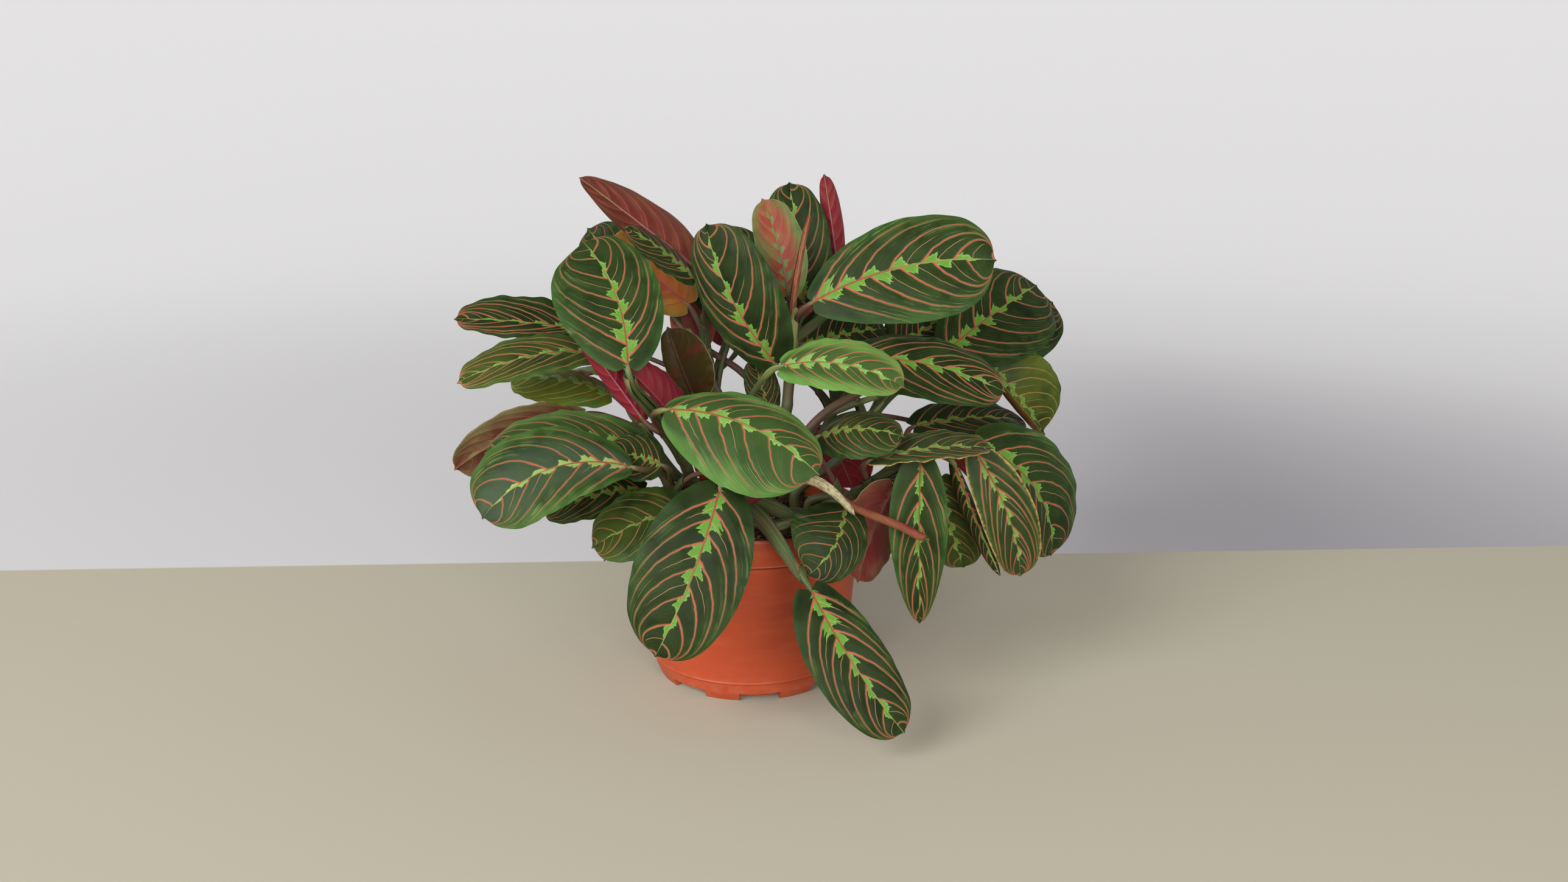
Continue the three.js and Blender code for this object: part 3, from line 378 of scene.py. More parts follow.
# POT: how deep the rim's skirt is and how much narrower at its lower edge; the wall's radius at the
# neck below it and at the seam, with the seam's height and step; the radii of the foot, the inner
# ring and the pad, and the foot's height and flare; the wall's and the floor's thickness; the
# notches of the foot, with the first one's place in degrees; the drain holes, their radius, the
# radius of the ring they lie on and their sides; and the angle from which an edge is sharp.
POT = dict(skirt=18.5, lip=1.2, neck=76.2, seam=69.6, seam_height=14, seam_step=0.7,
           foot=65, ring=58, foot_height=7, flare=2.6, wall=1.7, floor=1.8, pad=12,
           notches=8, notch_width=27, notch_height=5.6, first_notch=-83,
           drain=4, drain_ring=45, drain_sides=32, sharp=38)
# PEAT: the profile of its underside, the radius of its top, and its grid. CLODS and FIBRES: within
# which radius they lie, their smallest and largest sizes, how they are shaped, and how far up they lie.
PEAT = dict(under=[(0, 9.2), (62.2, 9.2), (67, 15.7), (73.6, 96.4), (77, 102.2)], wide=77.3,
            rings=110, columns=260)
CLODS = dict(within=76, size=(0.7, 2.6), power=1.3, flattened=(0.7, 1.3), lumpy=(0.75, 1.2), raised=0.3)
FIBRES = dict(within=75, ends_within=76.3, length=(2.5, 12), thick=(0.15, 0.42), bends=1.6, swings=0.7,
              arch=(-0.4, 2.6), raised=0.3, rows=12, sides=4)

# ---- the stage, in metres and watts ------------------------------------------------------------------
TABLE_LINE = dict(slope=0.047, near=0.216, far=0.219)
STUDIO = dict(floor=(0.4, 1.2, 2.4), bend=1.2, top=3.4, steps=13, columns=96)
LAMPS = {"key": dict(place=(-1.84, -2.24, 1.76), size=2.1), "fill": dict(place=(0.68, -2.62, 0.83), size=1.8)}
LAMPS_AIM = (0, 0, 0.15)
SKY = dict(colour=(1.0, 0.985, 0.96, 1), strength=0.26)
CAMERA = dict(place=(0.024, -0.815, 0.369), tilt=75.85, lens=27.95, sensor=36)


# ---- numbers ---------------------------------------------------------------------------------------
def unit(vectors):
    """Vectors of length one."""
    return vectors / np.maximum(np.linalg.norm(vectors, axis=-1, keepdims=True), 1e-12)


def ease(value, low, high):
    """0 below low, 1 above high, and 3t^2 - 2t^3 between them."""
    share = np.clip((value - low) / (high - low), 0, 1)
    return share * share * (3 - 2 * share)


def bell(value, middle, width):
    """exp(-((value - middle) / width)^2)."""
    return np.exp(-(((value - middle) / width) ** 2))


def lumps(x, y, size, seed):
    """Smooth value noise from -1 to 1: seeded heights on a square net, blended by ease()."""
    heights = np.random.default_rng(seed).uniform(-1, 1, (64, 64))
    column, row = np.floor(x / size).astype(int), np.floor(y / size).astype(int)
    across, along = ease(x / size - column, 0, 1), ease(y / size - row, 0, 1)
    corner = [heights[(row + j) % 64, (column + i) % 64] for j in (0, 1) for i in (0, 1)]
    near = corner[0] * (1 - across) + corner[1] * across
    far = corner[2] * (1 - across) + corner[3] * across
    return near * (1 - along) + far * along


def evenly(points, count):
    """count points spaced evenly along a line of points."""
    steps = np.linalg.norm(np.diff(points, axis=0), axis=1)
    at = np.concatenate([[0], np.cumsum(steps)])
    places = np.linspace(0, at[-1], count)
    return np.stack([np.interp(places, at, points[:, axis]) for axis in range(3)], 1)


def through(points, count=120):
    """A centripetal Catmull-Rom curve through the points, as evenly spaced points.

    Each stretch is the cubic whose slopes at its ends are those of the quadratics through three
    neighbours, with knots spaced by the square root of the distance between them.
    """
    knots = np.array(points, float)
    knots = np.vstack([2 * knots[0] - knots[1], knots, 2 * knots[-1] - knots[-2]])
    share = np.linspace(0, 1, 40)[:, None]
    stretches = []
    for a, b, c, d in zip(knots, knots[1:], knots[2:], knots[3:]):
        first, middle, last = (np.sqrt(np.linalg.norm(q - p)) for p, q in ((a, b), (b, c), (c, d)))
        leave = ((b - a) / first - (c - a) / (first + middle) + (c - b) / middle) * middle
        arrive = ((c - b) / middle - (d - b) / (middle + last) + (d - c) / last) * middle
        square, cube = -3 * b + 3 * c - 2 * leave - arrive, 2 * b - 2 * c + leave + arrive
        stretches.append(b + leave * share + square * share ** 2 + cube * share ** 3)
    return evenly(np.vstack(stretches), count)


def bezier(a, b, c, d, count=120):
    """The cubic curve (1-t)^3 a + 3t(1-t)^2 b + 3t^2(1-t) c + t^3 d, as evenly spaced points."""
    t = np.linspace(0, 1, 200)[:, None]
    return evenly((1 - t) ** 3 * a + 3 * t * (1 - t) ** 2 * b + 3 * t * t * (1 - t) * c + t ** 3 * d,
                  count)


def frames(path, hint):
    """Tangents of a path, and two directions across it that never twist, the first near hint."""
    tangent = unit(np.gradient(path, axis=0))
    normal = np.empty_like(path)
    carried = np.array(hint, float)
    for row, along in enumerate(tangent):
        carried = unit(carried - carried @ along * along)
        normal[row] = carried
    return tangent, normal, np.cross(tangent, normal)


# ---- shells: closed pieces of surface, as arrays -------------------------------------------------------
def fields(count, **given):
    """The attributes that the materials read, one row of three numbers a point."""
    names = ("vein", "place", "tone", "wear_and_sheen")
    return {name: np.broadcast_to(given.get(name, (0, 0, 0)), (count, 3)).astype(float)
            for name in names}


def as_shell(points, quads, slots, given, triangles=(), sharp=()):
    """A closed piece of surface: its points, faces, each face's material slot, the points'
    attributes and the sharp edges."""
    return dict(points=points, quads=quads, triangles=np.array(triangles, int).reshape(-1, 3),
                sharp=np.array(sharp, int).reshape(-1, 2), slots=slots, fields=given)


def grid_quads(numbers, wrap=False):
    """Quads between neighbouring rows and columns of a grid of point numbers."""
    if wrap:
        numbers = np.hstack([numbers, numbers[:, :1]])
    corners = (numbers[:-1, :-1], numbers[:-1, 1:], numbers[1:, 1:], numbers[1:, :-1])
    return np.stack(corners, -1).reshape(-1, 4)


def two_faces(grid, above, below, given, slots):
    """A closed thin shell: a grid raised by above and lowered by below along its normals.

    Both faces share the points of the grid's border, where the edge is sharp, and each has its own
    material slot.
    """
    rows, columns = grid.shape[:2]
    normal = unit(np.cross(np.gradient(grid, axis=1), np.gradient(grid, axis=0)))
    inside = np.zeros((rows, columns), bool)
    inside[1:-1, 1:-1] = True
    upper = np.arange(rows * columns).reshape(rows, columns)
    lower = np.where(inside, rows * columns + np.cumsum(inside).reshape(rows, columns) - 1, upper)
    raised = grid + normal * (above * inside)[..., None]
    lowered = (grid - normal * (below * inside)[..., None])[inside]
    quads = np.vstack([grid_quads(upper), grid_quads(lower)[:, ::-1]])
    ring = np.concatenate([upper[0, :-1], upper[:-1, -1], upper[-1, :0:-1], upper[:0:-1, 0]])
    return as_shell(
        np.vstack([raised.reshape(-1, 3), lowered]), quads, np.repeat(slots, len(quads) // 2),
        {name: np.vstack([value.reshape(-1, 3), value[inside]]) for name, value in given.items()},
        sharp=np.stack([ring, np.roll(ring, -1)], 1))


def closed_round(rings, start, end, slot, place, **given):
    """A closed round shell: rings of points one after another, and a point at each end."""
    rows, sides = rings.shape[:2]
    points = np.vstack([rings.reshape(-1, 3), [start], [end]])
    numbers = np.arange(rows * sides).reshape(rows, sides)
    follow = np.roll(numbers, -1, 1)
    caps = [np.stack([np.full(sides, rows * sides), follow[0], numbers[0]], 1),
            np.stack([np.full(sides, rows * sides + 1), numbers[-1], follow[-1]], 1)]
    quads = grid_quads(numbers, wrap=True)
    made = fields(len(points), **given)
    made["place"] = np.vstack([place.reshape(-1, 3), place[0, :1], place[-1, :1]])
    return as_shell(points, quads, np.full(len(quads) + 2 * sides, slot), made, triangles=np.vstack(caps))


def tube(path, radius, sides, hint, slot, **given):
    """A closed tube: at each point of a path a ring, radius * (cos, sin) of the way round.

    radius holds one number for each point of the path, or a row of them, one for each side.
    """
    rows = len(path)
    _, normal, binormal = frames(path, hint)
    turn = np.linspace(0, 2 * np.pi, sides, endpoint=False)
    radius = np.broadcast_to(np.array(radius, float).reshape(rows, -1), (rows, sides))
    ring = normal[:, None] * np.cos(turn)[:, None] + binormal[:, None] * np.sin(turn)[:, None]
    along = np.linspace(0, 1, rows)[:, None]
    length = np.linalg.norm(np.diff(path, axis=0), axis=1).sum()
    place = np.stack(np.broadcast_arrays(along, turn / (2 * np.pi), along * length), -1)
    return closed_round(path[:, None] + ring * radius[..., None], path[0], path[-1], slot, place,
                        **given)


def edge_numbers(pairs, count):
    """A number for each pair of a mesh's count points, the same whichever of them comes first."""
    return np.sort(pairs, 1) @ (count, 1)


def make_piece(name, shells, materials, replaced):
    """One object from several shells. It rides on the plant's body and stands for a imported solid."""
    offsets = np.cumsum([0] + [len(shell["points"]) for shell in shells])
    points = np.vstack([shell["points"] for shell in shells]) * MM
    quads = np.vstack([shell["quads"] + start for shell, start in zip(shells, offsets)])
    triangles = np.vstack([shell["triangles"] + start for shell, start in zip(shells, offsets)])
    of_quads = [shell["slots"][:len(shell["quads"])] for shell in shells]
    of_triangles = [shell["slots"][len(shell["quads"]):] for shell in shells]
    mesh = bpy.data.meshes.new(name)
    mesh.vertices.add(len(points))
    mesh.vertices.foreach_set("co", points.ravel())
    corners = np.concatenate([quads.ravel(), triangles.ravel()])
    mesh.loops.add(len(corners))
    mesh.loops.foreach_set("vertex_index", corners)
    sizes = np.concatenate([np.full(len(quads), 4), np.full(len(triangles), 3)])
    mesh.polygons.add(len(sizes))
    mesh.polygons.foreach_set("loop_start", np.cumsum(sizes) - sizes)
    mesh.polygons.foreach_set("material_index", np.concatenate(of_quads + of_triangles))
    mesh.update(calc_edges=True)
    mesh.shade_smooth()
    for key in shells[0]["fields"]:
        layer = mesh.attributes.new(key, "FLOAT_VECTOR", "POINT")
        layer.data.foreach_set("vector", np.vstack([shell["fields"][key] for shell in shells]).ravel())
    crease = np.vstack([shell["sharp"] + start for shell, start in zip(shells, offsets)])
    if len(crease):
        ends = np.empty(len(mesh.edges) * 2, int)
        mesh.edges.foreach_get("vertices", ends)
        layer = mesh.attributes.new("sharp_edge", "BOOLEAN", "EDGE")
        layer.data.foreach_set("value", np.isin(edge_numbers(ends.reshape(-1, 2), len(points)),
                                                edge_numbers(crease, len(points))))
    for material in materials:
        mesh.materials.append(material)
    piece = bpy.data.objects.new(name, mesh)
    bpy.context.scene.collection.objects.link(piece)
    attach(piece, "root")
    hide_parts(replaced)
    return piece


# ---- leaves ------------------------------------------------------------------------------------------
def both(value):
    """A pair of numbers, one for each half of a blade."""
    return value if isinstance(value, tuple) else (value, value)


def leaf_axes(row):
    """A blade's base, length and own axes: along the midrib, across, and out of its face."""
    base, tip = np.array(row["base"], float), np.array(row["tip"], float)
    length = np.linalg.norm(tip - base)
    along = (tip - base) / length
    face = np.array(row["face"], float)
    face = unit(face - face @ along * along)
    return base, length, along, np.cross(face, along), face


def vein_numbers(u, a, veins, steep):
    """Which side vein a place on a blade lies on: 0 at the first, 1 at the next, and so on.

    A vein that leaves the midrib at the share q of its length has reached the share
    u = q + (1 - q) s(a) c(q) where it is a of the half width out, with
    s(a) = steep (linear a + outer a^power) and c(q) = base + rise (1 - exp(-q / settle)). Towards
    the tip linear grows and power falls, so the veins there turn forward sooner. q is found by
    halving its range. The number is veins ((q + near)^crowd - near^crowd) - first, so the veins
    stand closer by the stalk.
    """
    low, high = np.full(u.shape, -0.4), np.full(u.shape, 1.05)
    for _ in range(22):
        q = (low + high) / 2
        reach = SWEEP["base"] + SWEEP["rise"] * (1 - np.exp(-np.maximum(q, 0) / SWEEP["settle"]))
        turn = ease(q, SWEEP["turn_from"], SWEEP["turn_to"])
        sweep = (SWEEP["linear"] + SWEEP["forward"] * turn) * a
        sweep = sweep + SWEEP["outer"] * a ** (SWEEP["power"] - SWEEP["sooner"] * turn)
        beyond = q + (1 - q) * np.minimum(steep * sweep * reach, SWEEP["most"]) > u
        low, high = np.where(beyond, low, q), np.where(beyond, q, high)
    near, crowd = SWEEP["near"], SWEEP["crowd"]
    return veins * np.sign(q) * ((np.abs(q) + near) ** crowd - near ** crowd) - SWEEP["first"]


def blade_fields(grid, u, v, row, seed, veins):
    """Attributes of a blade: vein number, spacing and edge; place along and across; its look.

    The left half's numbers start at LEFT_HALF, and each leaf's at one of seven multiples of
    NEXT_LEAF, so that no two halves share their random draws. Before the first vein they stay above
    -0.5, which tells leaf_pattern() which half it is on. The marks of a leaf that is shorter than
    usual_length are smaller in the same measure, down to smallest_marks.
    """
    a = np.abs(v)
    number = vein_numbers(*np.broadcast_arrays(u, a), veins, row.get("steep", 1))
    down, over = np.gradient(grid, axis=0), np.gradient(grid, axis=1)
    down_number, over_number = np.gradient(number, axis=0), np.gradient(number, axis=1)
    aa, ab, bb = ((p * q).sum(-1) for p, q in ((down, down), (down, over), (over, over)))
    slope = (down_number ** 2 * bb - 2 * down_number * over_number * ab + over_number ** 2 * aa)
    spacing = np.sqrt(np.maximum(aa * bb - ab ** 2, 1e-9) / np.maximum(slope, 1e-9))
    number = np.clip(number + np.where(v < 0, HALF_A_STEP, 0), -0.45, LEFT_HALF - 1)
    number = number + np.where(v < 0, LEFT_HALF, 0) + NEXT_LEAF * (seed % 7)
    middle = grid.shape[1] // 2
    steps = np.linalg.norm(np.diff(grid, axis=1), axis=-1)
    run = np.concatenate([np.zeros((len(grid), 1)), np.cumsum(steps, 1)], 1)
    from_rib = np.abs(run - run[:, middle:middle + 1])
    to_edge = np.where(v < 0, from_rib[:, :1], from_rib[:, -1:]) - from_rib
    size = max(row["length"] / BLADE["usual_length"], BLADE["smallest_marks"])
    flat = np.ones_like(number)
    deep, fresh, olive, dry, silver = LOOKS[row["look"]]
    return dict(vein=np.stack([number, spacing / size, to_edge / size], -1),
                place=np.stack([u * flat, a * flat, from_rib / size], -1),
                tone=np.stack([deep * flat, fresh * flat, olive * flat], -1),
                wear_and_sheen=np.stack([dry * flat, silver * flat, row.get("flame", 1) * flat], -1))


def blade_shell(row, seed, settings, slots=(0, 1)):
    """A leaf's blade as a closed shell.

    The midrib arches by a parabola; at each row the half width is a rounded sine of the way along,
    and each half bends away from the midrib along a circle's arc. The base corners reach back past
    the stalk. The blade swells between its side veins, its edges ripple, and its end is drawn out
    to a small point. The midrib stands out below.
    """
    rng = np.random.default_rng(seed)
    base, length, along, across, face = leaf_axes(row)
    bow, bend, lean = row.get("bow", 0.06), row.get("bend", 0), row.get("lean", 0.5)
    belly, point, wave = row.get("belly", 1), row.get("point", 0), row.get("wave", 0)
    v = np.linspace(-1, 1, BLADE["columns"] + 1)
    v = np.sign(v) * np.abs(v) ** BLADE["finer_by_rib"]
    a = np.abs(v)
    tau = np.linspace(BLADE["first"], BLADE["last"], BLADE["rows"] + 1)[:, None]
    u = (1 - np.cos(np.pi * tau)) / 2
    rise, slope = 4 * u * (1 - u), 4 * (1 - 2 * u)
    rib = np.stack([u * length, -bend * length * rise, bow * length * rise], -1)
    t = unit(np.stack([np.ones_like(u), -bend * slope, bow * slope], -1))
    up = np.array((0.0, 0.0, 1.0))
    up = unit(up - t[..., 2:] * t)
    side = np.cross(t, up)
    trim = 1 - BLADE["tip_trim"] * np.exp(-((1 - u) / BLADE["tip_length"]) ** BLADE["tip_power"])
    power = BLADE["roundness"] - BLADE["blunter"] * ease(tau, 0.55, 1)
    half = row["width"] / 2 * np.sin(np.pi * tau ** belly) ** power * trim
    half = half * (1 - point * u * u)
    fold, curl = (np.radians(np.where(v < 0, *both(row[key]))) for key in ("fold", "curl"))
    share = np.where(v < 0, 2 * (1 - lean), 2 * lean)
    out = (np.sin(fold + curl * a) - np.sin(fold)) / curl
    lift = (np.cos(fold) - np.cos(fold + curl * a)) / curl
    lobe = np.maximum(0, (a - BLADE["lobe_start"]) / (1 - BLADE["lobe_start"])) ** BLADE["lobe_power"]
    lobe = lobe * BLADE["lobe_reach"] * length * np.exp(-u / BLADE["lobe_length"]) * tau ** (belly - 1)
    lobe = lobe * ease(half, 1, 7)
    ripple = wave * np.sin(2 * np.pi * BLADE["waves"] * u) * a ** BLADE["wave_power"] * np.sign(v)
    ripple = ripple * np.minimum(1, BLADE["wave_width"] * half / (row["width"] / 2))
    phases = rng.uniform(0, 2 * np.pi, (2, 2))
    frill = sum(part * np.sin(2 * np.pi * waves * u + np.where(v < 0, *phase))
                for (part, waves), phase in zip(BLADE["frills"], phases))
    ripple = ripple + settings.frill / MM * frill * a ** 3 * ease(half, 2, 12)
    veins = settings.veins * rng.uniform(0.93, 1.1) * row.get("veins", 1)
    number = vein_numbers(*np.broadcast_arrays(u, a), veins, row.get("steep", 1))
    number = number + np.where(v < 0, HALF_A_STEP, 0)
    swell = (0.5 - 0.5 * np.cos(2 * np.pi * number)) * np.sin(np.pi * a ** 0.8) * ease(number, 0, 0.3)
    swell = swell * ease(1 - u, 0, 0.1) * row.get("quilt", 1)
    swell = settings.quilting / MM * length / BLADE["usual_length"] * swell
    local = (rib + side * (half * share * out * np.sign(v))[..., None]
             + up * (half * share * lift + ripple + swell)[..., None] - t * lobe[..., None])
    drawn = np.exp(-(a * half / BLADE["point_width"]) ** BLADE["point_power"])
    drawn = settings.tip / MM * drawn * bell((1 - u) * length, 0, BLADE["point_length"])
    local = local + (t + up * rng.uniform(-0.5, 0.2)) * drawn[..., None]
    grid = base + local @ np.stack([along, across, face])
    given = blade_fields(grid, u, v, dict(row, length=length), seed, veins)
    from_rib = given["place"][..., 2]
    keel = BLADE["keel"] * bell(from_rib, 0, BLADE["keel_width"]) * (1 - BLADE["keel_fades"] * u)
    edge = ease(given["vein"][..., 2], 0, 0.8)
    skin = settings.thickness / MM / 2
    raised = skin * edge + BLADE["crest"] * bell(from_rib, 0, BLADE["crest_width"])
    return two_faces(grid, raised, skin * edge + keel, given, slots)


# ---- shoots, stalks and rolled leaves ------------------------------------------------------------------
def shoot_line(shoot):
    """Centre line of a shoot above the soil, through its bends."""
    x, y = shoot["foot"]
    top = SHOOT["soil_top"] + SHOOT["mound"] + 1
    return through([(x, y, top), (x, y, top + SHOOT["straight"]), *shoot["bends"]], 200)


def point_on(line, share):
    """The point at a share of a line of evenly spaced points, and the direction there."""
    at = share * (len(line) - 1)
    low = min(int(at), len(line) - 2)
    return line[low] + (line[low + 1] - line[low]) * (at - low), unit(line[low + 1] - line[low])


def stalk_path(line, row):
    """A stalk rises along its shoot, swings out, meets the blade in line with its midrib and runs
    on a little way under it."""
    base, _, along, across, face = leaf_axes(row)
    inward = unit(along + 4 * row.get("bow", 0.06) * face - 4 * row.get("bend", 0) * across)
    start, climb = point_on(line, row["at"] * STALK["highest"])
    end = base - STALK["short"] * inward
    via = np.array(row["via"], float) if "via" in row else None
    turn = unit(STALK["in_line"] * inward
                + (1 - STALK["in_line"]) * unit(end - (start if via is None else via)))
    span = np.linalg.norm(end - start)
    if via is None:
        path = bezier(start, start + climb * span * STALK["climb"], end - turn * span * STALK["run_in"], end)
    else:
        path = through([start, via, end - STALK["approach"] * turn, end])
    sunk = np.linspace(0, 1, 12)[1:, None]
    under = end + inward * STALK["under"] * sunk - face * STALK["sinks"] * ease(sunk, 0, 0.5)
    return evenly(np.vstack([path, under]), STALK["rows"]), face


def stalk_shells(line, row, seed):
    """A leaf's stalk: thick where it leaves the shoot, slim, and swollen to a joint by the blade.

    A sheath wraps the foot of it, open on the upper side, and ends in a withered tip.
    """
    rng = np.random.default_rng(seed)
    path, face = stalk_path(line, row)
    s = np.linspace(0, 1, len(path))
    length = np.linalg.norm(np.diff(path, axis=0), axis=1).sum()
    to_blade = (1 - s) * length - STALK["under"]
    thicker = row.get("stalk", 1) - 1
    radius = (STALK["foot"] - STALK["slimmer"] * ease(s, 0, 0.5)) * (1 + thicker * (1 - s))
    radius = radius + STALK["joint"] * bell(to_blade, STALK["joint_at"], STALK["joint_length"])
    radius = radius - STALK["joint"] * ease(-to_blade, -STALK["joint_ends"], STALK["joint_ends"])
    radius = radius * (1 - STALK["end_slims"] * ease(-to_blade, 0, STALK["under"]))
    turn = np.linspace(0, 2 * np.pi, STALK["sides"], endpoint=False)
    ribbed = 1 + STALK["ribs"] * np.cos(STALK["rib_count"] * turn)
    ribbed = ribbed - STALK["groove"] * bell(turn, np.pi, STALK["groove_width"])
    ribbed = radius[:, None] * ribbed
    stalk = tube(path, ribbed, STALK["sides"], -face, 0, tone=(row.get("red", rng.uniform(0, 1)), 0, 0))
    reach = row.get("sheath", rng.uniform(SHEATH["shortest"], SHEATH["longest"]))
    sheath = evenly(path[:max(3, int(len(path) * reach))], SHEATH["rows"])
    width = np.linspace(1, SHEATH["end_share"], SHEATH["rows"]) * SHEATH["foot"] * (1 + thicker * 0.8)
    return [stalk, wrapped_sheet(sheath, width, face, seed, turns=SHEATH["turns"], spiral=SHEATH["spiral"],
                                 slanted=SHEATH["slanted"], look="leafy", slots=SHEATHING)]


def wrapped_sheet(path, radius, hint, seed, *, turns, spiral, slanted, look, slots):
    """A leaf or sheath wrapped round a path: radius r(s)(1 - spiral (1 - v) / 2) at the angle
    pi * turns * v, with v from -1 to 1 across it and its edges on the side that hint points to.
    Its end is cut at a slant."""
    columns = max(16, int(28 * turns)) // 2 * 2
    v = np.linspace(-1, 1, columns + 1)
    _, normal, binormal = frames(path, -np.array(hint, float))
    angle = np.pi * turns * v
    reach = radius[:, None] * (1 - spiral * (1 - v) / 2)
    ring = normal[:, None] * np.cos(angle)[:, None] + binormal[:, None] * np.sin(angle)[:, None]
    grid = path[:, None] + ring * reach[..., None]
    rows = len(path)
    s = np.linspace(0, 1, rows)[:, None]
    last = unit(path[-1] - path[-2])
    grid = grid - last * (slanted * radius[-1] * 3 * np.abs(v) ** 1.5 * ease(s, 0.6, 1))[..., None]
    length = np.linalg.norm(np.diff(path, axis=0), axis=1).sum()
    given = blade_fields(grid, s, v, dict(length=length, look=look), seed, 6)
    thick = np.full((rows, columns + 1), SHEATH["skin"])
    return two_faces(grid, thick, thick, given, slots)


def spread(radii, count):
    """Radii given at even steps along a path, as count of them."""
    return np.interp(np.linspace(0, 1, count), np.linspace(0, 1, len(radii)), radii)


def shoot_shells(shoot, settings):
    """A shoot: its stem, the stalk of each leaf, its young leaves, its bare stalks, and its leaves
    still rolled up and loose sheaths. A ring stands out of the stem where each stalk leaves it."""
    line = shoot_line(shoot)
    foot = line[:1] - (0, 0, SHOOT["depth"])
    path = evenly(np.vstack([foot, line]), SHOOT["rows"])
    s = np.linspace(0, 1, len(path))
    radius = shoot["radius"] * (1 + (SHOOT["tip_share"] - 1) * s)
    young = shoot.get("young", [])
    for row in shoot["leaves"] + young:
        at = SHOOT["ground"] + (1 - SHOOT["ground"]) * row["at"] * STALK["highest"]
        radius = radius + SHOOT["ring"] * bell(s, at, SHOOT["ring_length"])
    radius = radius * np.sqrt(1 - ease(s, 0.97, 1) * 0.9)
    seed = sum(map(ord, shoot["name"]))
    shells = [tube(path, radius, SHOOT["sides"], (1, 0, 0), 0, tone=(0.3, 0, 0))]
    for k, row in enumerate(shoot["leaves"] + young):
        shells += stalk_shells(line, row, seed + 31 * k)
    for k, row in enumerate(young):
        shells.append(blade_shell(row, seed + 7 * k + 3, settings, slots=YOUNG_LEAF))
    for stem in shoot.get("stems", []):
        path = through(stem["path"], 50)
        shells.append(tube(path, spread(stem["radii"], len(path)), STALK["sides"], (1, 0.1, 0), 0,
                           tone=(stem["red"], 0, 0)))
    for roll in shoot.get("rolls", []):
        path = through(roll["path"], 70)
        turns = roll.get("turns", SHOOT["rolled_turns"])
        shells.append(wrapped_sheet(
            path, spread(roll["radii"], len(path)), roll.get("back", (0, 1, 0.2)), seed, turns=turns,
            spiral=max(0, turns - 1), slanted=SHOOT["rolled_slanted"], look=roll["look"],
            slots=roll.get("slots", ROLLED_LEAF)))
    return shells


# ---- pot and soil ----------------------------------------------------------------------------------
def rounded(profile, radii):
    """A profile whose corners are rounded: each becomes a parabola that starts and ends its own
    radius away, or less on a short side."""
    points = [np.array(profile[0], float)]
    for before, corner, after, radius in zip(profile, profile[1:], profile[2:], radii):
        before, corner, after = (np.array(p, float) for p in (before, corner, after))
        reach = min(radius, np.linalg.norm(before - corner) * 0.45, np.linalg.norm(after - corner) * 0.45)
        start, end = (corner + reach * unit(p - corner) for p in (before, after))
        t = np.linspace(0, 1, 5)[:, None]
        points += list((1 - t) ** 2 * start + 2 * t * (1 - t) * corner + t ** 2 * end)
    return np.array(points + [np.array(profile[-1], float)])


def along_profile(points, longest):
    """The same profile with points no further apart than longest."""
    parts = [a + (b - a) * np.linspace(0, 1, max(2, int(np.ceil(np.linalg.norm(b - a) / longest)) + 1)
                                       )[:-1, None] for a, b in zip(points, points[1:])]
    return np.vstack(parts + [points[-1:]])


def turned(profile, angles, slot, **given):
    """A closed body of revolution: the rings r * (cos, sin) of a profile whose ends lie on the axis."""
    radius, height = profile[1:-1, 0, None], profile[1:-1, 1, None] + 0 * angles
    rings = np.stack([radius * np.cos(angles), radius * np.sin(angles), height], -1)
    place = np.stack([radius + 0 * angles, 0 * radius + angles, height], -1)
    return closed_round(rings, (0, 0, profile[0, 1]), (0, 0, profile[-1, 1]), slot, place, **given)


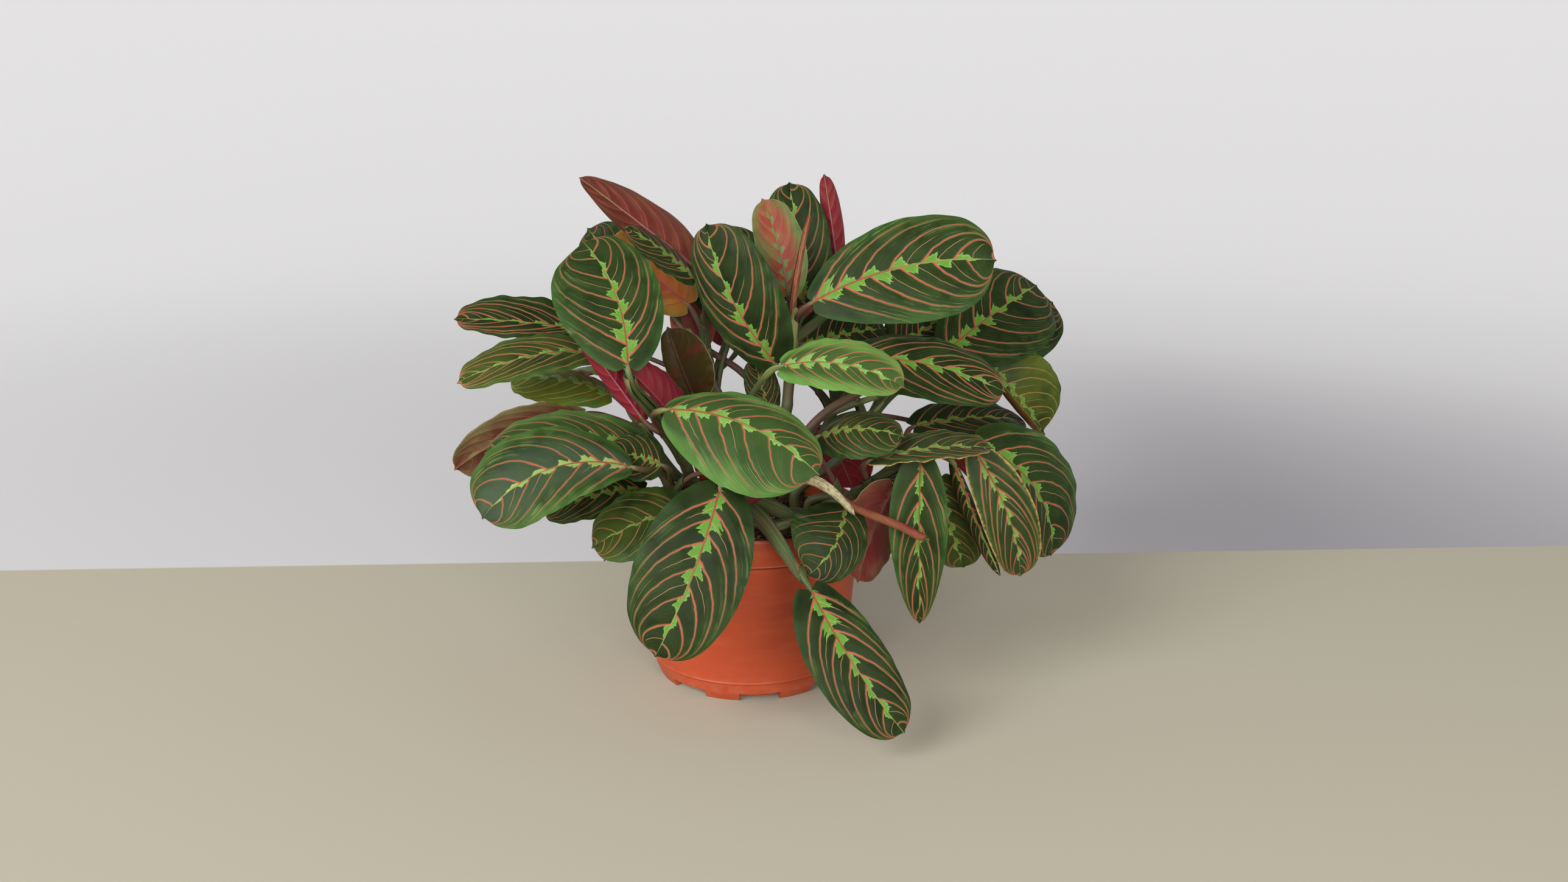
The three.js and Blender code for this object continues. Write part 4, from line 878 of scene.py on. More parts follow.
def pot_shell(columns):
    """The pot as one thin-walled body: pad, inner ring, foot, wall with a seam near its foot, and a
    deep rim with a skirt. The profile is turned round the axis, and the notches of the foot, which
    let water out, are its lowest points raised."""
    low, top, rim = POT_LOW.z / MM, POT_HIGH.z / MM, POT_HIGH.x / MM
    pad, ring, foot, seam, neck, wall = (
        POT[key] for key in ("pad", "ring", "foot", "seam", "neck", "wall"))
    raised, seam_height, skirt = POT["foot_height"], POT["seam_height"], top - POT["skirt"]
    profile = [
        # underside: the pad, the inner ring and the inner face of the foot
        (0, low), (pad, low), (pad, raised), (ring - 1.2, raised), (ring - 1.2, low + 0.3),
        (ring, low + 0.3), (ring, raised), (foot - wall - 1.2, raised), (foot - wall - 0.6, low),
        # outside: the foot, the seam, the wall, the skirt and the rim
        (foot, low), (foot + POT["flare"], raised - 1), (seam - POT["seam_step"], seam_height - 1.2),
        (seam + 0.5, seam_height - 0.2), (seam + 0.5, seam_height + 0.2), (seam, seam_height + 0.9),
        (neck, skirt), (rim - POT["lip"], skirt - 0.7), (rim, top - 1.8), (rim - 0.9, top),
        # inside: the rim, the wall and the floor
        (rim - wall, top - 0.7), (rim - wall - 0.9, skirt + 1.7), (neck - wall, skirt - 0.7),
        (seam - wall, seam_height), (foot - 0.85, raised + POT["floor"]), (0, raised + POT["floor"]),
    ]
    radii = [1, 1, 0.5, 0.3, 0.3, 0.5, 1.5, 0.5, 0.8, 1.5, 0.4, 0.4, 0.4, 0.4, 0.8, 0.5, 1.2, 0.9, 0.7]
    radii += [2, 2, 4, 2]
    profile = along_profile(rounded(profile, radii), 7)
    half = math.asin(POT["notch_width"] / 2 / foot)
    middles = np.radians(POT["first_notch"] + np.arange(POT["notches"]) * 360 / POT["notches"])
    edges = (middles[:, None] + np.array([-1, 1]) * half)[..., None] + np.radians([-0.08, 0.08])
    angles = np.concatenate([np.linspace(0, 2 * np.pi, columns, endpoint=False), edges.ravel()])
    angles = np.unique(np.round(angles % (2 * np.pi), 6))
    shell = turned(profile, angles, 0)
    points = shell["points"]
    away = np.angle(np.exp(1j * (np.arctan2(points[:, 1], points[:, 0])[:, None] - middles)))
    cut = (np.abs(away) < half).any(1) & (np.hypot(points[:, 0], points[:, 1]) > ring + 1)
    points[:, 2] = np.where(cut, np.maximum(points[:, 2], POT["notch_height"]), points[:, 2])
    return shell


def bore(piece, places, radius, sides, low, high):
    """Round holes through a piece, with a Boolean modifier that is applied at once."""
    turn = np.linspace(0, 2 * np.pi, sides, endpoint=False)
    shells = []
    for x, y in places:
        ring = np.stack([x + radius * np.cos(turn), y + radius * np.sin(turn)], 1)
        rings = np.stack([np.column_stack([ring, np.full(sides, z)]) for z in (low, high)])
        shells.append(closed_round(rings, (x, y, low), (x, y, high), 0, np.zeros((2, sides, 3))))
    offsets = np.cumsum([0] + [len(shell["points"]) for shell in shells])
    mesh = bpy.data.meshes.new("drill")
    mesh.from_pydata(
        (np.vstack([shell["points"] for shell in shells]) * MM).tolist(), [],
        [face for shell, start in zip(shells, offsets)
         for face in (shell["quads"] + start).tolist() + (shell["triangles"] + start).tolist()])
    drill = bpy.data.objects.new("drill", mesh)
    bpy.context.scene.collection.objects.link(drill)
    cut = piece.modifiers.new("drain holes", "BOOLEAN")
    cut.object, cut.operation, cut.solver = drill, "DIFFERENCE", "EXACT"
    whole = piece.evaluated_get(bpy.context.evaluated_depsgraph_get())
    bored = bpy.data.meshes.new_from_object(whole)
    piece.modifiers.clear()
    piece.data = bored
    bpy.data.objects.remove(drill)


def soil_height(x, y):
    """Height of the peat: a low mound with shallow lumps, as the solid has, and crumbs on it."""
    r = np.hypot(x, y) / (POT["neck"] - POT["wall"])
    swells = np.sin(0.23 * x + 1.3) * np.cos(0.19 * y - 0.7) + 0.6 * np.sin(0.11 * x - 0.31 * y)
    crumbs = 1.3 * lumps(x, y, 8, 3) + 0.9 * lumps(x, y, 3.7, 4) + 0.6 * lumps(x, y, 1.9, 5)
    return (SHOOT["soil_top"] + SHOOT["mound"] * (1 - r ** 2) + 0.96 * swells * (1 - r ** 6)
            + crumbs * ease(1.05 - r, 0, 0.12))


def soil_shell():
    """The peat's body: it fits the pot's inside, and its top is soil_height()."""
    level = SHOOT["soil_top"]
    rings = np.linspace(PEAT["wide"], 0, PEAT["rings"])
    profile = np.vstack([PEAT["under"], np.stack([rings, np.full(len(rings), level)], 1)])
    shell = turned(profile, np.linspace(0, 2 * np.pi, PEAT["columns"], endpoint=False), 0)
    points = shell["points"]
    top = points[:, 2] > level - 0.1
    points[top, 2] = soil_height(points[top, 0], points[top, 1])
    return shell


def clods_shell(count):
    """Crumbs of peat, all as one shell: lumpy balls of 32 faces, each stretched, turned and sunk a
    little. The ball is an octahedron with its faces cut in four and the new corners pushed out."""
    rng = np.random.default_rng(11)
    corners = np.array([(1, 0, 0), (-1, 0, 0), (0, 1, 0), (0, -1, 0), (0, 0, 1), (0, 0, -1)], float)
    faces = np.array([(0, 2, 4), (2, 1, 4), (1, 3, 4), (3, 0, 4), (2, 0, 5), (1, 2, 5), (3, 1, 5), (0, 3, 5)])
    pairs = np.unique(np.sort(np.vstack([faces[:, [0, 1]], faces[:, [1, 2]], faces[:, [2, 0]]]), 1), axis=0)
    number = {tuple(pair): 6 + k for k, pair in enumerate(pairs.tolist())}
    ball = np.vstack([corners, unit(corners[pairs].sum(1))])
    small = []
    for a, b, c in faces.tolist():
        ab, bc, ca = (number[tuple(sorted(pair))] for pair in ((a, b), (b, c), (c, a)))
        small += [(a, ab, ca), (ab, b, bc), (ca, bc, c), (ab, bc, ca)]
    radius = CLODS["within"] * np.sqrt(rng.uniform(0, 1, count))
    turn = rng.uniform(0, 2 * np.pi, count)
    x, y = radius * np.cos(turn), radius * np.sin(turn)
    size = rng.uniform(*CLODS["size"], count) ** CLODS["power"]
    size = size * rng.uniform(*CLODS["flattened"], (3, count))
    stretch = rng.uniform(*CLODS["lumpy"], (count, len(ball), 1))
    points = ball * stretch * size.T[:, None]
    spin = rng.uniform(0, 2 * np.pi, count)[:, None]
    points = np.stack([points[..., 0] * np.cos(spin) - points[..., 1] * np.sin(spin),
                       points[..., 0] * np.sin(spin) + points[..., 1] * np.cos(spin),
                       points[..., 2]], -1)
    points = points + np.stack([x, y, soil_height(x, y) + size[2] * CLODS["raised"]], 1)[:, None]
    triangles = np.array(small) + (np.arange(count) * len(ball))[:, None, None]
    tone = np.repeat(rng.uniform(0, 1, (count, 1)), len(ball), 0) * (1, 0, 0)
    return as_shell(points.reshape(-1, 3), np.zeros((0, 4), int), np.zeros(count * len(small), int),
                    fields(count * len(ball), tone=tone), triangles=triangles)


def fibres_shell(count):
    """Curly fibres on the peat, all as one shell: thin four-sided tubes along paths whose heading
    turns steadily and swings once, and which arch a little above soil_height()."""
    rng = np.random.default_rng(12)
    rows, sides = FIBRES["rows"], FIBRES["sides"]
    radius = FIBRES["within"] * np.sqrt(rng.uniform(0, 1, (count, 1)))
    turn = rng.uniform(0, 2 * np.pi, (count, 1))
    s = np.linspace(0, 1, rows)
    bent = rng.normal(0, FIBRES["bends"], (count, 1)) * s
    bent = bent + FIBRES["swings"] * np.sin(2 * np.pi * s + rng.uniform(0, 6.3, (count, 1)))
    heading = rng.uniform(0, 2 * np.pi, (count, 1)) + bent
    step = rng.uniform(*FIBRES["length"], (count, 1)) / rows
    x = radius * np.cos(turn) + np.cumsum(step * np.cos(heading), 1)
    y = radius * np.sin(turn) + np.cumsum(step * np.sin(heading), 1)
    inward = np.minimum(1, FIBRES["ends_within"] / np.hypot(x, y))
    x, y = x * inward, y * inward
    thick = rng.uniform(*FIBRES["thick"], (count, 1)) * (0.35 + 0.65 * np.sin(np.pi * (0.06 + 0.88 * s)))
    arch = rng.uniform(*FIBRES["arch"], (count, 1)) * np.sin(np.pi * s)
    path = np.stack([x, y, soil_height(x, y) + FIBRES["raised"] + arch], -1)
    tangent = unit(np.gradient(path, axis=1))
    up = unit((0, 0, 1) - tangent[..., 2:] * tangent)
    side = np.cross(tangent, up)
    way = np.linspace(0, 2 * np.pi, sides, endpoint=False)[:, None]
    ring = up[:, :, None] * np.cos(way) + side[:, :, None] * np.sin(way)
    points = path[:, :, None] + ring * thick[..., None, None]
    each = rows * sides
    numbers = np.arange(each).reshape(rows, sides)
    quads = np.vstack([grid_quads(numbers, wrap=True), numbers[:1, ::-1], numbers[-1:]])
    quads = (quads + (np.arange(count) * each)[:, None, None]).reshape(-1, 4)
    tone = np.repeat(rng.uniform(0, 1, (count, 1)), each, 0) * (1, 0, 0)
    return as_shell(points.reshape(-1, 3), quads, np.ones(len(quads), int),
                    fields(count * each, tone=tone))


# ---- materials ---------------------------------------------------------------------------------------
class Reading:
    """A node's output, with which Math nodes are written as sums."""

    def __init__(self, tree, output):
        self.tree, self.output = tree, output

    def math(self, operation, *others, clamp=False):
        """The result of a Math node."""
        return node(self.tree, "Math", (self, *others), operation=operation, use_clamp=clamp)

    def __add__(self, other):
        return self.math("ADD", other)

    def __sub__(self, other):
        return self.math("SUBTRACT", other)

    def __rsub__(self, other):
        return self.math("MULTIPLY_ADD", -1, other)

    def __mul__(self, other):
        return self.math("MULTIPLY", other)

    __radd__, __rmul__ = __add__, __mul__

    def ease(self, low, high):
        """0 below low, 1 above high, and smooth between them."""
        return node(self.tree, "MapRange", (self, low, high), interpolation_type="SMOOTHSTEP")


def node(tree, kind, inputs=(), output=0, **settings):
    """A new shader node. Its inputs are given in order or by name; one output comes back."""
    made = tree.nodes.new("ShaderNode" + kind)
    for key, value in settings.items():
        setattr(made, key, value)
    for key, value in (inputs.items() if isinstance(inputs, dict) else enumerate(inputs)):
        if isinstance(value, Reading):
            tree.links.new(value.output, made.inputs[key])
        else:
            made.inputs[key].default_value = value
    return Reading(tree, made.outputs[output])


def mix(share, first, second):
    """The first colour where share is 0, and the second where it is 1."""
    return node(share.tree, "Mix", {0: share, 6: first, 7: second}, output=2, data_type="RGBA")


def noise(place, scale, detail=2, dimensions="3D"):
    """Noise around 0.5 at a place."""
    return node(place.tree, "TexNoise", {"Vector": place, "Scale": scale, "Detail": detail},
                noise_dimensions=dimensions)


def split(place):
    """The three numbers of a vector."""
    made = node(place.tree, "SeparateXYZ", (place,))
    return [Reading(place.tree, output) for output in made.output.node.outputs]


def join(x, y, z=0):
    """A vector of three numbers."""
    return node(x.tree, "CombineXYZ", (x, y, z))


def tint(name):
    """A linear colour, from its name in TINTS or from the six digits that picture editors show."""
    code = TINTS.get(name, name)
    shares = [int(code[k:k + 2], 16) / 255 for k in (0, 2, 4)]
    return (*((s / 12.92 if s < 0.04045 else ((s + 0.055) / 1.055) ** 2.4) for s in shares), 1)


def new_group(name, inputs, outputs):
    """An empty node group with named sockets, its tree, its inputs by name and its output node."""
    tree = bpy.data.node_groups.new(name, "ShaderNodeTree")
    for kind, label in inputs:
        tree.interface.new_socket(label, in_out="INPUT", socket_type="NodeSocket" + kind)
    for label in outputs:
        tree.interface.new_socket(label, in_out="OUTPUT", socket_type="NodeSocketFloat")
    entry, leave = tree.nodes.new("NodeGroupInput"), tree.nodes.new("NodeGroupOutput")
    return tree, {label: Reading(tree, entry.outputs[label]) for _, label in inputs}, leave


def use_group(tree, group, outputs, **inputs):
    """A placed node group; the named outputs come back in order."""
    placed = node(tree, "Group", output=0, node_tree=group).output.node
    for label, value in inputs.items():
        socket = placed.inputs[label]
        if isinstance(value, Reading):
            tree.links.new(value.output, socket)
        else:
            socket.default_value = value
    return [Reading(tree, placed.outputs[label]) for label in outputs]


def attribute(tree, name):
    """A vector that the piece's points carry."""
    return node(tree, "Attribute", attribute_name=name, output="Vector")


def leaf_pattern():
    """Node group: where the veins and the marks of a blade lie.

    It reads the numbers that blade_fields() gives to each point. A side vein lies where the vein
    number is whole; its distance in millimetres is the distance to that number times the spacing.
    The feather along the midrib has a lobe behind each side vein, which reaches furthest just past
    the vein and shrinks towards the next one, more so near the tip; two noises that run with the
    veins comb it and give it teeth. The dark blotch fills the space beyond it, and the streaks and
    the thin branches between the veins run with them too.
    """
    tree, given, leave = new_group(
        "leaf pattern", [("Vector", "Vein"), ("Vector", "Place"), ("Vector", "Position"),
                         ("Float", "Flame"), ("Float", "Fresh")], MARKS)
    number, spacing, _ = split(given["Vein"])
    u, a, from_rib = split(given["Place"])
    position = given["Position"]
    number = number + (noise(position, 130, 1) - 0.5) * VEINS["wanders"]
    from_base = (number + 0.5).math("FLOORED_MODULO", LEFT_HALF) - 0.5

    # the side veins, each with a width of its own, and the pale border beside them
    between = number.math("PINGPONG", 0.5)
    chance = node(tree, "TexWhiteNoise", {"W": number.math("ROUND") * 7.31}, noise_dimensions="1D")
    width = VEINS["half_width"] + chance * VEINS["wider"]
    width = width * (1 - a * VEINS["slims_out"]) * (1 - u * VEINS["slims_to_tip"])
    ends = (1 - a.ease(0.78, 0.97)) * from_base.ease(-0.3, -0.12)
    lateral = (1 - (between * spacing - width).ease(-0.24, 0.20)) * ends
    border = (1 - (between * spacing - width).ease(0.10, 0.75)) * ends

    # a thin branch halfway between some of them, and the midrib
    halfway = (number + 0.5).math("PINGPONG", 0.5) * spacing
    other = node(tree, "TexWhiteNoise", {"W": number.math("FLOOR") * 3.17}, noise_dimensions="1D")
    reach = other * 0.4 + 0.2
    branch = (1 - halfway.ease(0.08, 0.32)) * (1 - (a - reach).ease(-0.08, 0.08)) * other.ease(0.35, 0.45)
    branch = branch * from_base.ease(0, 0.2)
    rib = 1 - (from_rib + u * 0.45).ease(0.60, 0.92)

    # the feather: flame is how far it reaches from the midrib, in millimetres
    past = number.math("FRACT")
    comb = noise(join(number * FEATHER["combs"], from_rib * 0.05), 1, 1, "2D") - 0.5
    teeth = noise(join(number * FEATHER["teeth"], from_rib * 0.30), 1, 1, "2D") - 0.5
    shrunk = (past + u.ease(0.10, 0.60) * FEATHER["sooner"]).ease(FEATHER["shrinks"], FEATHER["gone"])
    lobe = FEATHER["by_vein"] + past.ease(0, FEATHER["full"]) * (1 - FEATHER["by_vein"])
    lobe = lobe * (1 - shrunk * 0.9)
    flame = lobe * (1 + comb * FEATHER["comb_depth"] + teeth * FEATHER["teeth_depth"])
    flame = flame * (0.7 + other * 0.5) * (1 - u.ease(0.30, 1) * 0.45)
    flame = flame * given["Flame"] * FEATHER["reach"] * (1 - u.ease(0.82, 0.97)) + (1 - u) * 0.4
    feather = (1 - (from_rib - flame).ease(-0.35, 0.25)) * from_base.ease(-0.38, -0.2)
    fringe = (from_rib - flame).ease(-1.6, -0.3)

    # pale streaks along the veins, the dark blotch out to a wavering line, and fine flecks
    streak = noise(join(number * 30, from_rib * 0.02), 1, 1, "2D").ease(0.54, 0.66)
    streak = streak * noise(position, 90, 2).ease(0.35, 0.62) * from_base.ease(-0.42, -0.1)
    far = 1.06 - given["Fresh"] * 0.34 + (noise(position, 60, 1) - 0.5) * 0.34 + comb * 0.2
    blotch = 1 - (a - far).ease(-0.28, 0.12)
    fleck = noise(position, 420, 3)

    values = (rib, lateral, border, branch, feather, fringe, blotch, streak, fleck)
    for label, value in zip(MARKS, values):
        tree.links.new(value.output, leave.inputs[label])
    return tree


def mottle():
    """Node group: broad patches, finer spots and a grain, three scales of noise."""
    tree, given, leave = new_group("mottle", [("Vector", "Position"), ("Float", "Size")],
                                   ("Patch", "Spot", "Grain"))
    for label, times, detail in (("Patch", 1, 2), ("Spot", 6, 3), ("Grain", 40, 2)):
        value = noise(given["Position"], given["Size"] * times, detail)
        tree.links.new(value.output, leave.inputs[label])
    return tree


def new_material(name, **constants):
    """A material with a bare Principled shader. The constants are set on its own sockets."""
    material = bpy.data.materials.new(name)
    material.use_nodes = True
    tree = material.node_tree
    shader = tree.nodes["Principled BSDF"]
    for label, value in constants.items():
        shader.inputs[label.replace("_", " ")].default_value = value
    return material, tree, shader


def dress(tree, shader, colour, roughness, height, depth):
    """Give the shader its colour and roughness, and a bump of the given depth in metres."""
    normal = node(tree, "Bump", {"Strength": 1.0, "Distance": depth, "Height": height})
    for label, value in (("Base Color", colour), ("Roughness", roughness), ("Normal", normal)):
        tree.links.new(value.output, shader.inputs[label])


def leaf_readings(tree, pattern):
    """What the leaf materials read: the position; the place along and across and the distance from
    the edge; the shares of the look; and the marks of the pattern."""
    vein, place, tone, wear_and_sheen = (attribute(tree, name) for name in ("vein", "place", "tone", "wear_and_sheen"))
    position = node(tree, "TexCoord", output="Object")
    deep, fresh, olive = split(tone)
    dry, silver, flame = split(wear_and_sheen)
    marks = use_group(tree, pattern, MARKS, Vein=vein, Place=place, Position=position, Flame=flame,
                      Fresh=fresh)
    u, a, _ = split(place)
    return position, (u, a, split(vein)[2]), (deep, fresh, olive, dry, silver), marks


def mottling(tree, mottled, size):
    """A piece's own position, and the masks of the mottle group there."""
    position = node(tree, "TexCoord", output="Object")
    return position, *use_group(tree, mottled, ("Patch", "Spot", "Grain"), Position=position, Size=size)


def wither(dry, fleck, edge):
    """Where a blade has dried: along its edge, and all over where it is quite withered."""
    return (dry * 1.3 + fleck * 0.5 - edge * 0.12).ease(0.45, 0.8) * dry.ease(0.02, 0.2)


def leaf_upper_material(pattern, colours):
    """Upper side of a leaf: a lime feather along the midrib, near-black green beyond it, a green
    margin with pale streaks, and coral veins. A fresh look is brighter, an olive one yellower."""
    material, tree, shader = new_material("leaf upper side", Specular_IOR_Level=0.07)
    position, (u, a, edge), (deep, fresh, olive, dry, silver), marks = leaf_readings(tree, pattern)
    rib, lateral, border, branch, feather, fringe, blotch, streak, fleck = marks
    drift = noise(position, 45, 2)
    margin = mix(fresh * 1.25 + (drift - 0.5) * 0.4 - 0.15, colours.margin, tint("fresh margin"))
    inner = mix(drift * 0.6 + fresh * 0.75 - 0.15, colours.blotch, tint("fresh ground"))
    ground = mix(blotch * deep, margin, inner)
    lines = streak * (a.ease(0.40, 0.9) * (fresh * 0.75 + 0.12) + 0.06)
    ground = mix(lines, ground, tint("leaf streak"))
    ground = mix(olive * 0.8 * drift.ease(0.2, 0.6), ground, tint("olive leaf"))
    # painted sheen: a grey-green highlight over the inner part of a silvery leaf's upper side
    ground = mix(silver * 0.18 * (1 - a.ease(0.3, 0.8)), ground, tint("painted silver sheen"))
    ground = mix(border * 0.14, ground, tint("vein border"))
    flame = mix(fresh * 0.6 + streak * 0.2 + fringe * 0.4 - 0.15, colours.feather, tint("fresh feather"))
    flame = mix(silver * 1.6, flame, tint("silver feather"))
    ground = mix(feather * 0.96, ground, flame)
    line = mix(a.ease(0.2, 0.95), colours.veins_colour, tint("outer vein"))
    line = mix(olive * 0.8, line, tint("olive vein"))
    ground = mix(branch * 0.5, ground, tint("thin branch"))
    ground = mix(lateral * 0.93, ground, line)
    ground = mix(rib * 0.92, ground, mix(u.ease(0.3, 0.85), tint("midrib"), tint("midrib tip")))
    withered = wither(dry, fleck, edge)
    ground = mix(withered, ground, mix(drift, tint("dry brown"), tint("dry tan")))
    roughness = 0.36 + fleck * 0.16 + withered * 0.3 - feather * 0.04
    height = streak * 0.25 + fleck * 0.30 - lateral * 0.30 - rib * 0.4 + branch * 0.1
    dress(tree, shader, ground, roughness, height, 0.00035)
    return material


def leaf_underside_material(pattern, colours):
    """Underside of a leaf: wine red, with raised veins of nearly the same red and a pale edge. A
    fresh look is rosier, an olive one ochre, partly as painted light shining through the leaf, and a
    silvery one green along the margin and on the feather."""
    material, tree, shader = new_material("leaf underside", Specular_IOR_Level=0.15)
    position, (u, a, edge), (_, fresh, olive, dry, silver), marks = leaf_readings(tree, pattern)
    rib, lateral, _, branch, feather, _, _, streak, fleck = marks
    drift = noise(position, 55, 2)
    ground = mix(drift, colours.underside, tint("bright wine"))
    ground = mix(fresh.ease(0.2, 1) * 0.8, ground, mix(drift, tint("rose"), tint("light rose")))
    # the ochre is partly the leaf's own yellow and partly painted light shining through the leaf
    ochre = mix(fresh.ease(0, 0.6), mix(a, tint("olive"), tint("olive rim")),
                mix(a, tint("ochre"), tint("ochre rim")))
    ground = mix(olive * drift.ease(0.1, 0.5), ground, ochre)
    sage = a.ease(0.3, 1.0) * 0.85 + streak * 0.4 + drift.ease(0.4, 0.7) * 0.6 + feather * 0.9
    ground = mix(silver * sage.math("MINIMUM", 1), ground,
                 mix(fresh.ease(0.1, 0.5), tint("sage"), tint("fresh sage")))
    red = 1 - olive * (1 - fresh) * 0.75
    ground = mix(streak * red * 0.16, ground, tint("red streak"))
    ground = mix(branch * red * 0.2, ground, tint("red branch"))
    ground = mix(lateral * red * 0.42, ground, tint("red vein"))
    ground = mix(rib * 0.75, ground, mix(u.ease(0.3, 0.9), tint("red midrib"), tint("red midrib tip")))
    ground = mix((1 - edge.ease(0.4, 1.6)) * 0.5, ground, tint("pale edge"))
    withered = wither(dry, fleck, edge)
    ground = mix(withered, ground, mix(drift, tint("dry red brown"), tint("dry cream")))
    roughness = 0.42 + fleck * 0.16 + withered * 0.25
    height = lateral * 0.6 + rib * 0.8 + branch * 0.3 + streak * 0.2 + fleck * 0.25
    dress(tree, shader, ground, roughness, height, 0.0004)
    return material


def stalk_material(mottled):
    """Stems and stalks: olive green to brownish red, with fine ridges along them."""
    material, tree, shader = new_material("stalk", Specular_IOR_Level=0.45)
    _, patch, spot, grain = mottling(tree, mottled, 60)
    s, turn, length = split(attribute(tree, "place"))
    red = (split(attribute(tree, "tone"))[0] * 0.9 + patch * 0.9 - 0.35).ease(0.1, 0.9)
    colour = mix(red, tint("stalk green"), tint("stalk red"))
    colour = mix((s.ease(0.80, 0.90) - s.ease(0.97, 1.0)) * 0.5, colour, tint("stalk joint"))
    angle = turn * (2 * math.pi)
    ridge = noise(join(angle.math("COSINE") * 5, angle.math("SINE") * 5, length * 0.03), 1, 2)
    colour = mix(ridge.ease(0.5, 0.8) * 0.3, colour, tint("stalk ridge"))
    colour = mix(spot.ease(0.62, 0.78) * 0.3, colour, tint("stalk spot"))
    dress(tree, shader, colour, 0.40 + grain * 0.2, ridge * 0.8 + grain * 0.2, 0.0004)
    return material


def sheath_material(mottled):
    """Leaf sheaths: dark green with paler ribs along them, brown at the tip, and paler all over
    where the look is fresh. A withered one is crimson at its foot, and cream green with red streaks
    beyond."""
    material, tree, shader = new_material("leaf sheath", Specular_IOR_Level=0.35)
    _, patch, spot, grain = mottling(tree, mottled, 80)
    u, a, across = split(attribute(tree, "place"))
    dry, fresh = split(attribute(tree, "wear_and_sheen"))[0], split(attribute(tree, "tone"))[1]
    ribs = noise(join(across * 2.2, u * 1.2), 1, 2, "2D")
    colour = mix(patch.ease(0.35, 0.65), tint("sheath green"), tint("sheath brown"))
    colour = mix(fresh.ease(0.3, 1), colour, tint("fresh sheath"))
    colour = mix(ribs.ease(0.45, 0.7) * 0.4, colour, tint("sheath rib"))
    pale = mix((ribs * 0.6 + spot * 0.5).ease(0.42, 0.56), tint("dry sheath streak"), tint("dry sheath"))
    colour = mix(dry, colour, mix(1 - u.ease(0.62, 0.70), pale, tint("dry sheath foot")))
    brown = (u + a * 0.3 + patch * 0.5).ease(1.35, 1.6) * (1 - dry * 0.8)
    colour = mix(brown, colour, mix(ribs, tint("sheath tip"), tint("sheath tip rib")))
    dress(tree, shader, colour, 0.5 + grain * 0.2, ribs * 1.0 + grain * 0.2, 0.0005)
    return material


def pot_material(mottled, colours):
    """Moulded plastic in a terracotta colour: satin, with a fine grain, faint flow marks, a painted
    shadow line and a painted highlight where the skirt ends, dust low down and a few scuffs."""
    material, tree, shader = new_material("terracotta plastic", Specular_IOR_Level=0.2)
    position, patch, spot, grain = mottling(tree, mottled, 30)
    height = split(position)[2]
    skirt = POT_HIGH.z / MM - POT["skirt"]
    faded = node(tree, "Mapping", {"Vector": position, "Scale": (1, 1, 6)})
    flow = noise(faded, 22, 2)
    colour = mix(patch, colours.colour, tint("bright plastic"))
    colour = mix(flow.ease(0.45, 0.75) * 0.2, colour, tint("flow mark"))
    colour = mix(spot.ease(0.66, 0.80) * 0.35, colour, tint("dark plastic"))
    # painted shadow: a dark line on the wall just below the skirt's overhang
    crease = (height * 1000 - (skirt - 2)).math("ABSOLUTE").math("MULTIPLY_ADD", -1.0, 1.1, clamp=True)
    colour = mix(crease * 0.8, colour, tint("skirt shadow"))
    # painted highlight along the lower edge of the skirt
    lip = (height * 1000 - (skirt - 0.2)).math("ABSOLUTE").math("MULTIPLY_ADD", -1.6, 1, clamp=True)
    colour = mix(lip * 0.35, colour, tint("painted lip highlight"))
    dust = (1 - height.ease(0, 0.03)) * spot.ease(0.4, 0.7)
    colour = mix(dust * 0.08, colour, tint("dust"))
    scratched = node(tree, "Mapping", {"Vector": position, "Scale": (1, 1, 14)})
    scuff = noise(scratched, 90, 2).ease(0.68, 0.80)
    colour = mix(scuff * 0.10, colour, tint("scuff"))
    roughness = 0.34 + patch * 0.08 + scuff * 0.2 + dust * 0.2
    dress(tree, shader, colour, roughness, grain * 0.6 + flow * 0.5 - scuff * 0.3, 0.00012)
    return material


def peat_material(mottled, colours):
    """Damp peat: nearly black brown crumbs, lighter where it has dried."""
    material, tree, shader = new_material("peat", Specular_IOR_Level=0.25)
    _, patch, spot, grain = mottling(tree, mottled, 110)
    dried = (split(attribute(tree, "tone"))[0] * 0.5 + patch * 0.6).ease(0.5, 0.95)
    colour = mix(spot.ease(0.35, 0.7), colours.colour, tint("brown peat"))
    colour = mix(dried * 0.6, colour, tint("dry peat"))
    dress(tree, shader, colour, 0.82 + grain * 0.15, spot + grain * 0.5, 0.0012)
    return material


def fibre_material(mottled):
    """Dry fibres in the peat: tan, some browner."""
    material, tree, shader = new_material("peat fibre", Specular_IOR_Level=0.3)
    _, _, spot, grain = mottling(tree, mottled, 200)
    pale = split(attribute(tree, "tone"))[0].ease(0.1, 0.9)
    colour = mix(pale, tint("brown fibre"), tint("tan fibre"))
    colour = mix(spot * 0.4, colour, tint("dull fibre"))
    dress(tree, shader, colour, 0.7 + grain * 0.2, spot, 0.0002)
    return material


